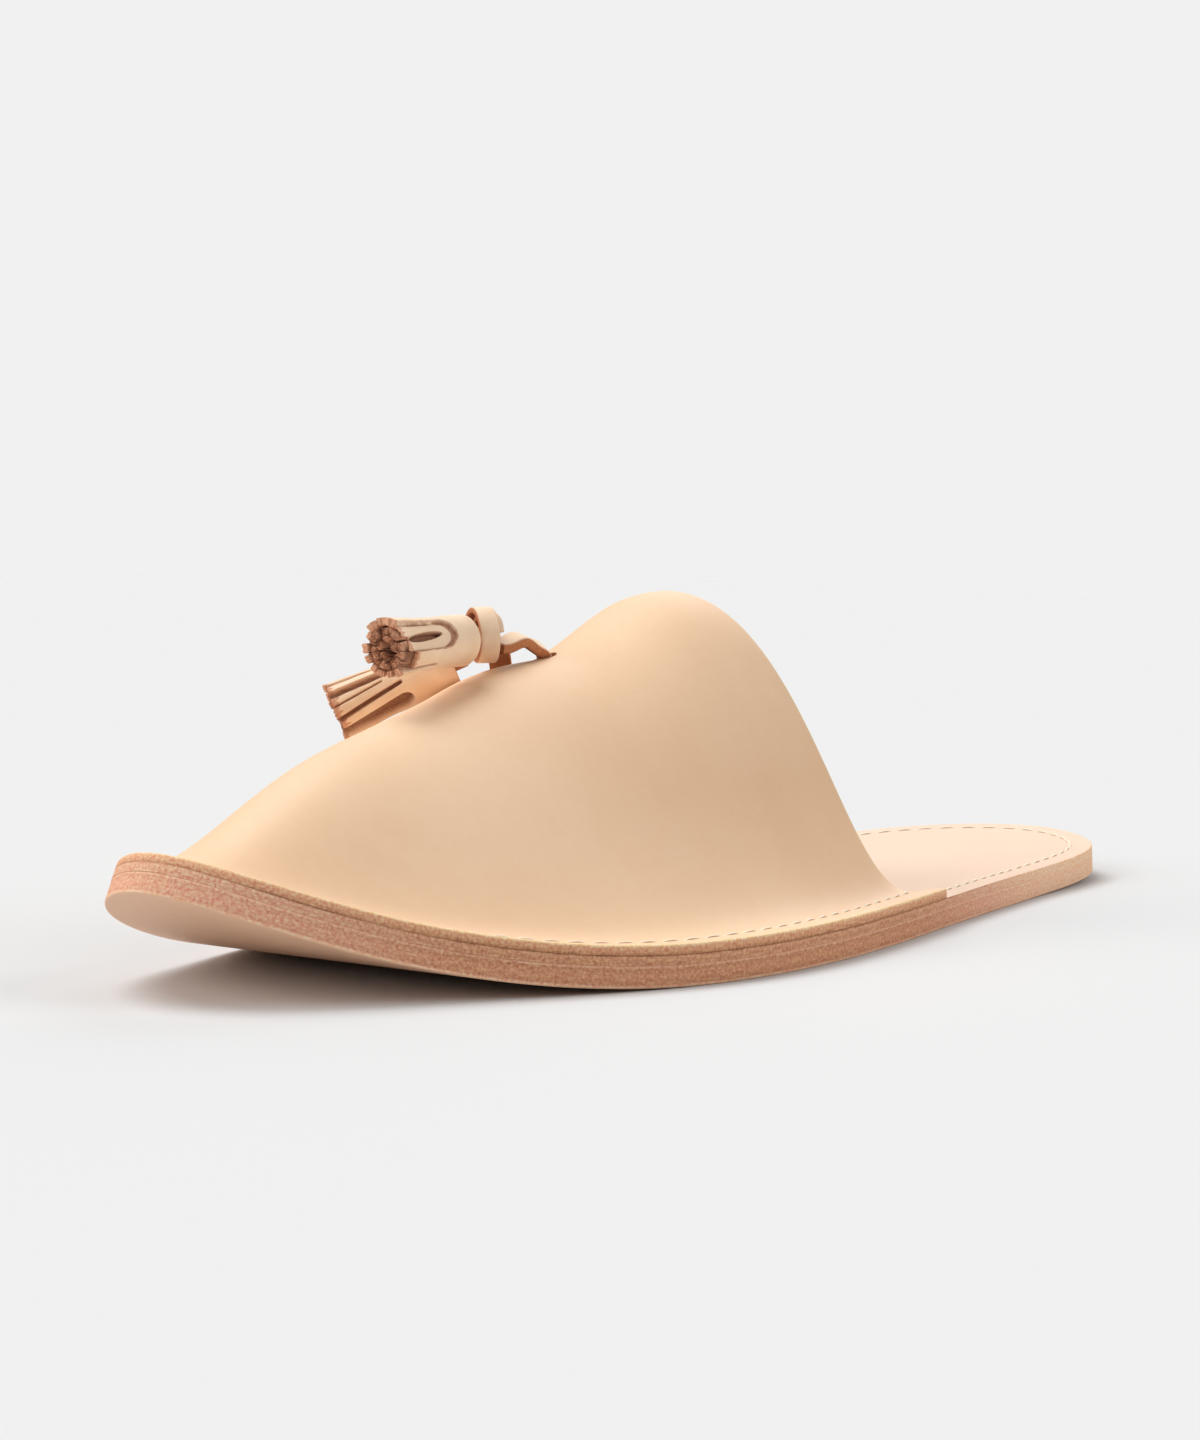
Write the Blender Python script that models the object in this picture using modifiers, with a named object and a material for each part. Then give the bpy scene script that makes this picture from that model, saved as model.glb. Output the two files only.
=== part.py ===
"""Leather slipper: a backless house shoe for the left foot, with two tassels.

A stitched-down slipper.  A thick outsole and a thin insole share one outline.  The upper is one
moulded piece of leather that covers the front half of the foot and turns out at its foot into a
flange, flush with the edge of the sole.  A flat lace comes up through two holes in the vamp, is
tied in a knot and ends in two rolled tassels.

Shoe frame used by every function: x to the medial side (the wearer's right on a left shoe), y
from the heel end (0) to the toe, z up from the floor.  The finished parts are centred on the
outline, so the origin is under the middle of the sole.
"""

import math
from collections import namedtuple

import bmesh
import bpy
import numpy as np
from mathutils import Matrix, Vector

MM = 0.001

# Sole and its layers
LENGTH = 280 * MM            # heel end to toe end
OUTSOLE_THICK = 4.0 * MM
INSOLE_THICK = 1.6 * MM
LAYER_GAP = 0.3 * MM         # clearance between neighbouring pieces
TOE_SPRING = 20.3 * MM       # rise of the underside at the toe end
TOE_BREAK = 191 * MM         # station where the toe starts to rise
TOE_POWER = 2.45
HEEL_LIFT = 2.6 * MM         # rise of the underside at the heel end
HEEL_BREAK = 62 * MM         # station where the heel starts to rise
EDGE_ROUND = 0.45 * MM       # softened corner of a cut sole edge
SOLE_STATIONS = 52

# Outline of the sole from above: one row for each station, edges as x
Station = namedtuple("Station", "along lateral medial")
HEEL_END_X = 1.5 * MM
TOE_END_X = 5.2 * MM
OUTLINE = [
    Station(14 * MM, -23.8 * MM, 28.3 * MM),
    Station(45 * MM, -32.9 * MM, 37.6 * MM),
    Station(105 * MM, -46.3 * MM, 37.9 * MM),
    Station(187 * MM, -57.8 * MM, 47.6 * MM),
    Station(238 * MM, -36.7 * MM, 38.0 * MM),
    Station(266 * MM, -17.5 * MM, 28.4 * MM),
]

# Upper: crown height over the flange, and how far the two bends of the wall reach, as shares of
# the half width: foot is the hollow bend at the flange, top is the round bend at the ridge
UPPER_THICK = 1.8 * MM
FLANGE_WIDTH = 5.0 * MM
RIDGE_AT_COLLAR = 2.8 * MM   # x of the ridge, a little to the medial side
Section = namedtuple("Section", "along crown foot top")
SECTIONS = [
    Section(104 * MM, 59.4 * MM, 0.27, 0.62),
    Section(134 * MM, 59.9 * MM, 0.27, 0.62),
    Section(145 * MM, 58.6 * MM, 0.27, 0.61),
    Section(157 * MM, 53.3 * MM, 0.28, 0.59),
    Section(169 * MM, 48.7 * MM, 0.28, 0.58),
    Section(182 * MM, 47.1 * MM, 0.29, 0.56),
    Section(200 * MM, 42.5 * MM, 0.30, 0.54),
    Section(220 * MM, 36.0 * MM, 0.31, 0.52),
    Section(240 * MM, 27.0 * MM, 0.32, 0.50),
    Section(258 * MM, 13.4 * MM, 0.33, 0.48),
    Section(267 * MM, 5.6 * MM, 0.33, 0.47),
    Section(273 * MM, 1.5 * MM, 0.34, 0.46),
    Section(278 * MM, 0.0 * MM, 0.34, 0.46),
]

# Collar: from its top at the ridge down to its foot, then a short tail of flange to the rear
COLLAR_TOP = 134 * MM
COLLAR_SETBACK = 21.5 * MM   # the foot of the collar lies this far behind its top
COLLAR_CURVE = 1.2
TAIL_END = 104.5 * MM
UPPER_ROWS = 40
WALL_COLUMNS = 15
FLANGE_COLUMNS = 3

# Lace: a flat strip with two ends.  Each end runs from the knot to its hole in the vamp
LACE_WIDTH = 4.4 * MM
LACE_THICK = 2.1 * MM
LACE_CORNER = 0.4 * MM       # cut off the strip's long corners
LACE_RINGS = 42
HOLE_RADIUS = 2.8 * MM
HOLE_STATION = 168.3 * MM
PUNCH_LENGTH = 12 * MM
# Ends of the lace: where each leaves the knot, its hole, and how much lower it runs
LaceEnd = namedtuple("LaceEnd", "from_knot hole_x drop")
LACE_ENDS = [
    LaceEnd(-3.2 * MM, 6.0 * MM, 0.0 * MM),
    LaceEnd(2.4 * MM, 15.6 * MM, 1.8 * MM),
]
# Arch of an end over the vamp: distance behind the knot, height over the knot's middle, and how
# far it has moved sideways to its hole
Arch = namedtuple("Arch", "behind lift sideways")
LACE_ARCH = [
    Arch(0.0 * MM, -1.9 * MM, 0.0),
    Arch(1.4 * MM, -1.7 * MM, 0.0),
    Arch(5.4 * MM, -1.0 * MM, 0.4),
    Arch(9.6 * MM, -1.9 * MM, 0.78),
]
LACE_DIVE = (2.2 * MM, -0.9 * MM, -3.4 * MM)   # places on the hole's axis, from outside to inside
LACE_SAG = 2.2 * MM          # the bar between the holes hangs this much lower, inside the shoe

# Knot: an oval band across the shoe, which the stiff lace carries just over the vamp
KNOT_X = 8.3 * MM
KNOT_STATION = 185.3 * MM
KNOT_HALF_WIDTH = 5.0 * MM
KNOT_HALF_HEIGHT = 5.2 * MM
KNOT_LENGTH = 5.4 * MM
KNOT_CLEARANCE = 1.1 * MM
KNOT_SOFT = 1.7 * MM         # rounding of its two rims

# Tassels
TASSEL_RADIUS = 5.0 * MM
TASSEL_FLARE = 0.7 * MM      # the strips stand out by this much at their ends
TASSEL_HEAD = 8.5 * MM       # plain rolled part, before the strips start
TASSEL_STRIPS = 9
STRIP_DEPTH = 1.6 * MM
SLOT_SHARE = 0.24            # share of the pitch between two strips that is cut away
SLOT_LEAN = 0.025            # share of a strip's width by which a slot narrows to its bottom
TASSEL_CORE = 2.0 * MM
CORE_DEPTH = 4.0 * MM        # hollow in the middle of the rolled end
HEAD_ROUND = 1.0 * MM        # rounding of the head's rear rim
NECK_RADIUS = 1.6 * MM
# Where each head starts, from the middle of the knot's front face, which way it points, and how
# long it and the neck behind it are
Tassel = namedtuple("Tassel", "name across ahead lift aim length neck")
TASSELS = [
    Tassel("tassel_a", -2.0 * MM, 5.3 * MM, -0.5 * MM, (-0.05, 1.0, -0.02), 23.0 * MM, 4.9 * MM),
    Tassel("tassel_b", 7.0 * MM, -2.3 * MM, -4.7 * MM, (0.66, 0.63, -0.41), 25.2 * MM, 1.8 * MM),
]

COLOURS = {
    "outsole": (0.46, 0.27, 0.16),
    "insole": (0.95, 0.79, 0.61),
    "upper": (0.90, 0.66, 0.42),
    "lace": (0.84, 0.60, 0.38),
    "lace_knot": (0.86, 0.62, 0.40),
    "tassel_a": (0.88, 0.64, 0.42),
    "tassel_b": (0.88, 0.64, 0.42),
}


def spline(knots, values, closed=False):
    """Return a function for the smooth cubic curve through values at the given knots.

    The curve has continuous curvature.  An open curve ends with no curvature.  A closed one
    repeats its first value at the last knot.
    """
    knots = np.asarray(knots, float)
    values = np.asarray(values, float)
    values = values.reshape(len(knots), -1)
    steps = np.diff(knots)
    slopes = np.diff(values, axis=0) / steps[:, None]
    count = len(knots)
    system = np.zeros((count, count))
    target = np.zeros(values.shape)
    for i in range(1, count - 1):
        system[i, i - 1:i + 2] = steps[i - 1], 2 * (steps[i - 1] + steps[i]), steps[i]
        target[i] = 6 * (slopes[i] - slopes[i - 1])
    if closed:
        system[0, [0, 1, -2]] = 2 * (steps[-1] + steps[0]), steps[0], steps[-1]
        target[0] = 6 * (slopes[0] - slopes[-1])
        system[-1, [0, -1]] = 1, -1
    else:
        system[0, 0] = system[-1, -1] = 1
    bends = np.linalg.solve(system, target)

    def curve(at):
        at = np.asarray(at, float)
        i = np.clip(np.searchsorted(knots, at, side="right") - 1, 0, count - 2)
        width = steps[i][..., None]
        left = (knots[i + 1] - at)[..., None]
        right = (at - knots[i])[..., None]
        cubic = (bends[i] * left ** 3 + bends[i + 1] * right ** 3) / (6 * width)
        ends = (values[i] / width - bends[i] * width / 6) * left
        ends = ends + (values[i + 1] / width - bends[i + 1] * width / 6) * right
        return (cubic + ends).squeeze(-1) if values.shape[1] == 1 else cubic + ends

    return curve


def outline_loop(samples=3000):
    """Return points of the closed sole outline, from the heel end round by the lateral side."""
    corners = [(HEEL_END_X, 0.0)]
    corners += [(row.lateral, row.along) for row in OUTLINE]
    corners += [(TOE_END_X, LENGTH)]
    corners += [(row.medial, row.along) for row in reversed(OUTLINE)]
    corners += corners[:1]
    gaps = np.linalg.norm(np.diff(corners, axis=0), axis=1) ** 0.5
    knots = np.concatenate([[0], np.cumsum(gaps)])
    loop = spline(knots, corners, closed=True)(np.linspace(0, knots[-1], samples, endpoint=False))
    return np.roll(loop, -int(loop[:, 1].argmin()), axis=0)


LOOP = outline_loop()
REAR, FRONT = LOOP[:, 1].min(), LOOP[:, 1].max()
TOE_TIP = LOOP[LOOP[:, 1].argmax()]
CENTRE = np.array([(LOOP[:, 0].min() + LOOP[:, 0].max()) / 2, (REAR + FRONT) / 2, 0])


def edges(along):
    """Return the lateral and medial x of the sole's outline at the given stations."""
    turn = int(LOOP[:, 1].argmax())
    lateral = np.interp(along, LOOP[:turn + 1, 1], LOOP[:turn + 1, 0])
    back = np.vstack([LOOP[turn:], LOOP[:1]])[::-1]
    medial = np.interp(along, back[:, 1], back[:, 0])
    return lateral, medial


def rise(along):
    """Return the height of the sole's underside over the floor at the given stations."""
    toe = np.clip((along - TOE_BREAK) / (LENGTH - TOE_BREAK), 0, None) ** TOE_POWER
    heel = np.clip((HEEL_BREAK - along) / HEEL_BREAK, 0, None) ** 2
    return TOE_SPRING * toe + HEEL_LIFT * heel


def on_sole(x, along, height):
    """Return points at a height over the underside, measured square to the bent sole."""
    step = 0.1 * MM
    tilt = np.arctan((rise(along + step) - rise(along - step)) / (2 * step))
    y = along - height * np.sin(tilt)
    z = rise(along) + height * np.cos(tilt)
    return np.stack(np.broadcast_arrays(x, y, z), axis=-1)


def column(name):
    """Return the smooth curve of one column of the upper's section table."""
    return spline([row.along for row in SECTIONS], [getattr(row, name) for row in SECTIONS])


CROWN, FOOT, TOP = column("crown"), column("foot"), column("top")
INSOLE_BASE = OUTSOLE_THICK + LAYER_GAP
UPPER_BASE = INSOLE_BASE + INSOLE_THICK + LAYER_GAP
FLANGE_TOP = UPPER_BASE + UPPER_THICK


def ridge_x(along):
    """Return the x of the upper's ridge, which runs from the collar to the toe end."""
    share = np.clip((along - COLLAR_TOP) / (FRONT - COLLAR_TOP), 0, 1)
    return RIDGE_AT_COLLAR + (TOE_TIP[0] - RIDGE_AT_COLLAR) * share


def vamp(side, climb, flange, along):
    """Return points on the outer face of the upper.

    side is -1 (lateral) or 1 (medial).  flange runs from 0 at the sole's edge to 1 at the foot
    of the wall, and climb from 0 at that foot to 1 on the ridge, along a curve with one hollow
    and one round bend.
    """
    lateral, medial = edges(along)
    middle = ridge_x(along)
    half = np.abs(np.where(side < 0, lateral, medial) - middle)
    flat = np.minimum(FLANGE_WIDTH, 0.45 * half)
    reach = half - flat
    rest = 1 - climb
    inward = rest ** 3 + 3 * rest ** 2 * climb * (1 - FOOT(along)) + 3 * rest * climb ** 2 * TOP(along)
    share = 3 * rest * climb ** 2 + climb ** 3
    x = middle + side * (reach * inward + flat * (1 - flange))
    points = on_sole(x, along, FLANGE_TOP)
    points[..., 2] += share * np.clip(CROWN(np.minimum(along, SECTIONS[-1].along)), 0, None)
    return points


def vamp_point(x, along):
    """Return the point of the upper's outer face above x at a station, and its normal."""
    climb = np.linspace(0, 1, 400)
    near = 0.5 * MM

    def height(px, py):
        side = -1 if px < ridge_x(py) else 1
        wall = vamp(side, climb, 1.0, np.full(400, py))
        order = np.argsort(wall[:, 0])
        return float(np.interp(px, wall[order, 0], wall[order, 2]))

    across = (height(x + near, along) - height(x - near, along)) / (2 * near)
    ahead = (height(x, along + near) - height(x, along - near)) / (2 * near)
    return Vector((x, along, height(x, along))), Vector((-across, -ahead, 1)).normalized()


def add_object(name, mesh, collection):
    """Link a mesh as a named object, shaded smooth except at its real corners."""
    thing = bpy.data.objects.new(name, mesh)
    collection.objects.link(thing)
    mesh.shade_smooth()
    mesh.set_sharp_from_angle(angle=math.radians(40))
    return thing


def leather(name):
    """Return the plain leather material of one part."""
    material = bpy.data.materials.new(name + "_leather")
    material.use_nodes = True
    shader = material.node_tree.nodes["Principled BSDF"]
    shader.inputs["Base Color"].default_value = (*COLOURS[name], 1)
    shader.inputs["Roughness"].default_value = 0.6
    shader.inputs["Metallic"].default_value = 0
    return material


def mesh_from(name, points, faces):
    """Return a mesh from an array of shoe points and its faces, centred on the outline."""
    mesh = bpy.data.meshes.new(name)
    mesh.from_pydata((np.asarray(points) - CENTRE).tolist(), [], faces)
    mesh.validate()
    return mesh


def sole_layer(name, base, thick, collection):
    """Build one flat layer of the sole: stacked outline loops, bridged across at each station."""
    turns = np.linspace(0, math.pi, SOLE_STATIONS + 2)[1:-1]
    along = (REAR + FRONT) / 2 - (FRONT - REAR) / 2 * np.cos(turns)
    lateral, medial = edges(along)
    flat = np.vstack([np.c_[lateral, along], np.c_[medial, along][::-1]])
    ahead = np.roll(flat, -1, axis=0) - np.roll(flat, 1, axis=0)
    outward = np.c_[-ahead[:, 1], ahead[:, 0]] / np.linalg.norm(ahead, axis=1)[:, None]
    levels = [
        (EDGE_ROUND, 0),
        (0, EDGE_ROUND),
        (0, thick - EDGE_ROUND),
        (EDGE_ROUND, thick),
    ]
    rings = []
    for inset, height in levels:
        ring = flat - inset * outward
        rings.append(on_sole(ring[:, 0], ring[:, 1], base + height))
    around = len(flat)
    faces = []
    for level in range(len(levels) - 1):
        for i in range(around):
            j = (i + 1) % around
            low, high = level * around, (level + 1) * around
            faces.append((low + i, high + i, high + j, low + j))
    top = (len(levels) - 1) * around
    for i in range(SOLE_STATIONS - 1):
        left, right = i, around - 1 - i
        faces.append((left, left + 1, right - 1, right))
        faces.append((top + left, top + right, top + right - 1, top + left + 1))
    mesh = mesh_from(name, np.vstack(rings), faces)
    fix_normals(mesh)
    return add_object(name, mesh, collection)


def fix_normals(mesh):
    """Turn every face of a closed mesh outwards."""
    work = bmesh.new()
    work.from_mesh(mesh)
    bmesh.ops.recalc_face_normals(work, faces=work.faces)
    work.to_mesh(mesh)
    work.free()


def build_upper(collection, cutters):
    """Build the upper: its outer face as a grid from collar to toe, given its wall thickness."""
    climbs = np.linspace(0, 1, WALL_COLUMNS + 1) ** 0.9
    steps = np.concatenate([np.zeros(FLANGE_COLUMNS), climbs])
    flanges = np.concatenate([np.linspace(0, 1, FLANGE_COLUMNS, endpoint=False), np.ones(len(climbs))])
    foot = COLLAR_TOP - COLLAR_SETBACK
    tail = foot - (foot - TAIL_END) * np.clip(1.5 * (1 - flanges), 0, 1)
    start = np.where(flanges < 1, tail, COLLAR_TOP - COLLAR_SETBACK * (1 - steps) ** COLLAR_CURVE)
    half = len(steps)
    side = np.concatenate([-np.ones(half), np.ones(half - 1)])
    climb = np.concatenate([steps, steps[-2::-1]])
    flange = np.concatenate([flanges, flanges[-2::-1]])
    start = np.concatenate([start, start[-2::-1]])
    across = len(side)
    shares = np.sin(np.linspace(0, math.pi / 2, UPPER_ROWS + 1))[:-1, None]
    along = start * (1 - shares) + FRONT * shares
    grid = vamp(*np.broadcast_arrays(side, climb, flange, along))
    tip = on_sole(TOE_TIP[0], np.array([FRONT]), FLANGE_TOP)
    faces = []
    for row in range(UPPER_ROWS - 1):
        for i in range(across - 1):
            a, b = row * across + i, (row + 1) * across + i
            faces.append((a, a + 1, b + 1, b))
    last = (UPPER_ROWS - 1) * across
    faces += [(last + i, last + i + 1, UPPER_ROWS * across) for i in range(across - 1)]
    mesh = mesh_from("upper", np.vstack([grid.reshape(-1, 3), tip]), faces)
    upper = add_object("upper", mesh, collection)
    wall = upper.modifiers.new("wall", "SOLIDIFY")
    wall.thickness = UPPER_THICK
    wall.offset = -1
    wall.use_even_offset = True
    for number, end in enumerate(LACE_ENDS):
        spot, normal = vamp_point(end.hole_x, HOLE_STATION)
        punch = punch_hole(f"lace_hole_{number + 1}", spot, normal, cutters)
        cut = upper.modifiers.new(punch.name, "BOOLEAN")
        cut.operation = "DIFFERENCE"
        cut.solver = "EXACT"
        cut.object = punch
    return upper


def punch_hole(name, spot, normal, cutters):
    """Add a round cutter through the vamp, square to its face."""
    work = bmesh.new()
    bmesh.ops.create_cone(
        work, cap_ends=True, segments=20, radius1=HOLE_RADIUS, radius2=HOLE_RADIUS, depth=PUNCH_LENGTH
    )
    mesh = bpy.data.meshes.new(name)
    work.to_mesh(mesh)
    work.free()
    punch = add_object(name, mesh, cutters)
    punch.location = spot - Vector(CENTRE)
    punch.rotation_mode = "QUATERNION"
    punch.rotation_quaternion = normal.to_track_quat("Z", "Y")
    punch.hide_render = True
    punch.display_type = "WIRE"
    return punch


def strip_section():
    """Return the corners of the lace's cross-section, with its long corners cut."""
    wide, thick = LACE_WIDTH / 2, LACE_THICK / 2
    quarter = [(wide, thick - LACE_CORNER), (wide - LACE_CORNER, thick)]
    upper_half = quarter + [(-x, y) for x, y in reversed(quarter)]
    return np.array(upper_half + [(-x, -y) for x, y in upper_half])


def build_lace(knot, collection):
    """Build the lace: from the knot back over the vamp, down one hole and up the other."""
    rear = knot.y - KNOT_LENGTH / 2 - LAYER_GAP
    halves = []
    for end in LACE_ENDS:
        start = knot.x + end.from_knot
        spot, normal = vamp_point(end.hole_x, HOLE_STATION)
        half = []
        for arch in LACE_ARCH:
            x = start + (end.hole_x - start) * arch.sideways
            half.append(Vector((x, rear - arch.behind, knot.z + arch.lift - end.drop)))
        half += [spot + depth * normal for depth in LACE_DIVE]
        halves.append(half)
    middle = (halves[0][-1] + halves[1][-1]) / 2 - Vector((0, 0, LACE_SAG))
    points = np.array(halves[0] + [middle] + halves[1][::-1])
    knots = np.concatenate([[0], np.cumsum(np.linalg.norm(np.diff(points, axis=0), axis=1))])
    path = spline(knots, points)(np.linspace(0, knots[-1], LACE_RINGS))
    section = strip_section()
    ahead = np.gradient(path, axis=0)
    ahead /= np.linalg.norm(ahead, axis=1)[:, None]
    wide = np.array([1.0, 0, 0])
    rings = []
    for point, direction in zip(path, ahead):
        wide = wide - direction * wide.dot(direction)
        wide /= np.linalg.norm(wide)
        flat = np.cross(direction, wide)
        rings.append(point + section[:, :1] * wide + section[:, 1:] * flat)
    around = len(section)
    faces = [tuple(range(around)), tuple(range(around * (len(path) - 1), around * len(path)))]
    for row in range(len(path) - 1):
        for i in range(around):
            a, b = row * around + i, row * around + (i + 1) % around
            faces.append((a, b, b + around, a + around))
    mesh = mesh_from("lace", np.vstack(rings), faces)
    fix_normals(mesh)
    return add_object("lace", mesh, collection)


def knot_centre():
    """Return the middle of the knot, just over the vamp."""
    seats = [KNOT_X + share * KNOT_HALF_WIDTH for share in (-0.5, 0, 0.5)]
    ends = (KNOT_STATION - KNOT_LENGTH / 2, KNOT_STATION + KNOT_LENGTH / 2)
    highest = max(vamp_point(x, station)[0].z for x in seats for station in ends)
    return Vector((KNOT_X, KNOT_STATION, highest + KNOT_CLEARANCE + KNOT_HALF_HEIGHT))


def build_knot(knot, collection):
    """Build the knot as a soft-edged oval band round the lace, its axis along the shoe."""
    work = bmesh.new()
    bmesh.ops.create_cone(work, cap_ends=True, segments=28, radius1=1, radius2=1, depth=KNOT_LENGTH)
    size = Matrix.Diagonal((KNOT_HALF_WIDTH, KNOT_HALF_HEIGHT, 1, 1))
    bmesh.ops.transform(work, matrix=size, verts=work.verts)
    mesh = bpy.data.meshes.new("lace_knot")
    work.to_mesh(mesh)
    work.free()
    band = add_object("lace_knot", mesh, collection)
    band.location = knot - Vector(CENTRE)
    band.rotation_euler = (-math.pi / 2, 0, 0)
    soft = band.modifiers.new("soft", "BEVEL")
    soft.width = KNOT_SOFT
    soft.segments = 3
    soft.limit_method = "ANGLE"
    return band


def tassel_ring(radius, slot, height):
    """Return one cross-section of a tassel: a round whose slots are cut in by the given depth."""
    pitch = 2 * math.pi / TASSEL_STRIPS
    width = pitch * (1 - SLOT_SHARE)
    next_strip = pitch / width
    corners = ((0, 0), (0.5, 0), (1, 0), (1 + SLOT_LEAN, slot), (next_strip - SLOT_LEAN, slot))
    ring = []
    for strip in range(TASSEL_STRIPS):
        for share, depth in corners:
            turn = strip * pitch + share * width
            ring.append(((radius - depth) * math.cos(turn), (radius - depth) * math.sin(turn), height))
    return ring


def build_tassel(plan, knot, collection):
    """Build one rolled tassel, with a neck that reaches back to the knot."""
    tip = TASSEL_RADIUS + TASSEL_FLARE
    rings = [
        tassel_ring(NECK_RADIUS, 0, -plan.neck),
        tassel_ring(NECK_RADIUS, 0, 0),
        tassel_ring(TASSEL_RADIUS - 0.5 * HEAD_ROUND, 0, 0),
        tassel_ring(TASSEL_RADIUS - 0.12 * HEAD_ROUND, 0, 0.4 * HEAD_ROUND),
        tassel_ring(TASSEL_RADIUS, 0, HEAD_ROUND),
        tassel_ring(TASSEL_RADIUS, 0, TASSEL_HEAD),
        tassel_ring(TASSEL_RADIUS, STRIP_DEPTH, TASSEL_HEAD + 0.4 * STRIP_DEPTH),
        tassel_ring((TASSEL_RADIUS + tip) / 2, STRIP_DEPTH, (TASSEL_HEAD + plan.length) / 2),
        tassel_ring(tip, STRIP_DEPTH, plan.length),
        tassel_ring(TASSEL_CORE, 0, plan.length - 0.2 * CORE_DEPTH),
        tassel_ring(0.8 * TASSEL_CORE, 0, plan.length - CORE_DEPTH),
    ]
    around = 5 * TASSEL_STRIPS
    faces = [tuple(range(around)), tuple(range(around * (len(rings) - 1), around * len(rings)))]
    for row in range(len(rings) - 1):
        for i in range(around):
            a, b = row * around + i, row * around + (i + 1) % around
            faces.append((a, b, b + around, a + around))
    mesh = bpy.data.meshes.new(plan.name)
    mesh.from_pydata([point for ring in rings for point in ring], [], faces)
    mesh.validate()
    fix_normals(mesh)
    tassel = add_object(plan.name, mesh, collection)
    head = knot + Vector((plan.across, KNOT_LENGTH / 2 + plan.ahead, plan.lift))
    tassel.location = head - Vector(CENTRE)
    tassel.rotation_mode = "QUATERNION"
    tassel.rotation_quaternion = Vector(plan.aim).to_track_quat("Z", "Y")
    return tassel


def new_collection(name):
    """Return a new collection under the scene."""
    collection = bpy.data.collections.new(name)
    bpy.context.scene.collection.children.link(collection)
    return collection


def main():
    """Build the slipper from the sole up."""
    for thing in list(bpy.data.objects):
        bpy.data.objects.remove(thing, do_unlink=True)
    parts = new_collection("leather_slipper")
    cutters = new_collection("cutters")
    built = [
        sole_layer("outsole", 0, OUTSOLE_THICK, parts),
        sole_layer("insole", INSOLE_BASE, INSOLE_THICK, parts),
        build_upper(parts, cutters),
    ]
    knot = knot_centre()
    built.append(build_lace(knot, parts))
    built.append(build_knot(knot, parts))
    built += [build_tassel(plan, knot, parts) for plan in TASSELS]
    for part in built:
        part.data.materials.append(leather(part.name))


main()
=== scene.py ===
"""Looks of a leather slipper for the left foot, with two tassels.

The shoe's own frame is used for every form: x to the medial side, y from the heel end to the toe and z up
from the floor, in metres.  Each finished mesh is then moved by the middle of the outline, so that it lies
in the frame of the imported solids.
"""

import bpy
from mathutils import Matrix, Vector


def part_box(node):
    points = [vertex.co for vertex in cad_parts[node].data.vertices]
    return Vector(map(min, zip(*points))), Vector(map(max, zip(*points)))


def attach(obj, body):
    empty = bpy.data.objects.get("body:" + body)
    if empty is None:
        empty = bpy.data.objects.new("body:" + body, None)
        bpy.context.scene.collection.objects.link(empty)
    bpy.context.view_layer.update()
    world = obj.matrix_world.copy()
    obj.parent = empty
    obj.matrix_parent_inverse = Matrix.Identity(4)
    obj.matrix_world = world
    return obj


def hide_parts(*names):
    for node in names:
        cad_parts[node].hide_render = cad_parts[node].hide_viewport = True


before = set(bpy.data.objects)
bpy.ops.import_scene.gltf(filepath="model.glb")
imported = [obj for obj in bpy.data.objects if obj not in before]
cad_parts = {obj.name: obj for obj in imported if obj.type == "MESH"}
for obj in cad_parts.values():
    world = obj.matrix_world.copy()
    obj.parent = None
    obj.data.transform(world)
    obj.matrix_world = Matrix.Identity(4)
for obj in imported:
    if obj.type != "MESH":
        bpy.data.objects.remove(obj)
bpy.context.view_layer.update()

import logging
import math
from dataclasses import dataclass, field
from enum import Enum
from functools import cached_property
from typing import Callable, NamedTuple, Sequence

import bmesh
import bpy
import numpy as np
from mathutils import Matrix, Vector

LOG = logging.getLogger("slipper")
MM = 0.001
# Stretches along the shoe over which the raw edge fades, and how pale it gets at the ends
HEEL_FADE = (35 * MM, 130 * MM)
TOE_FADE = (235 * MM, 276 * MM)
HEEL_PALE = 0.85
TOE_PALE = 0.35
Array = np.ndarray
Colour = tuple[int, int, int]


class Zone(Enum):
    """Which side of a piece of leather a face lies on; the value is its material slot."""

    GRAIN = 0
    FLESH = 1
    EDGE = 2


class Station(NamedTuple):
    """Edges of the sole at one place along the shoe."""

    along: float
    lateral: float
    medial: float


class Section(NamedTuple):
    """Height and bends of the upper at one place along the shoe."""

    along: float
    crown: float
    foot: float
    top: float


class Crease(NamedTuple):
    """A soft trough across the upper, from one plan point to another, with a low ridge beside it."""

    x0: float
    y0: float
    x1: float
    y1: float
    width: float
    depth: float


class Lamp(NamedTuple):
    """A broad distant lamp: degrees over the floor, and degrees from the camera to the right."""

    name: str
    rise: float
    turn: float
    strength: float


class Cut(Enum):
    """How a slot of a tassel ends: open to the tip, open over a smooth layer, or a slit with two points."""

    THROUGH = "through"
    WINDOW = "window"
    SLIT = "slit"


class Slot(NamedTuple):
    """A cut in a tassel, which parts two of its strips.

    The turn is in degrees from the tassel's top to its lateral side, and lean is added to it at the tip.  The
    strip that follows the slot is shorter by the trim.  Only a slit stops before the tip.
    """

    turn: float
    width: float
    start: float
    depth: float
    cut: Cut = Cut.THROUGH
    lean: float = 0.0
    trim: float = 0.0
    stop: float = 0.0

    @property
    def tip_turn(self) -> float:
        """Turn of the slot at the tassel's tip."""
        return (self.turn + self.lean) % 360


def linear(colour: Colour) -> tuple[float, float, float, float]:
    """Return a colour in sRGB bytes as linear light with full alpha."""
    shares = np.array(colour) / 255
    light = np.where(shares <= 0.04045, shares / 12.92, ((shares + 0.055) / 1.055) ** 2.4)
    return (*light.tolist(), 1.0)


def unit(vectors: Array) -> Array:
    """Return vectors scaled to length one along the last axis."""
    size = np.linalg.norm(vectors, axis=-1, keepdims=True)
    return vectors / np.maximum(size, 1e-12)


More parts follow.
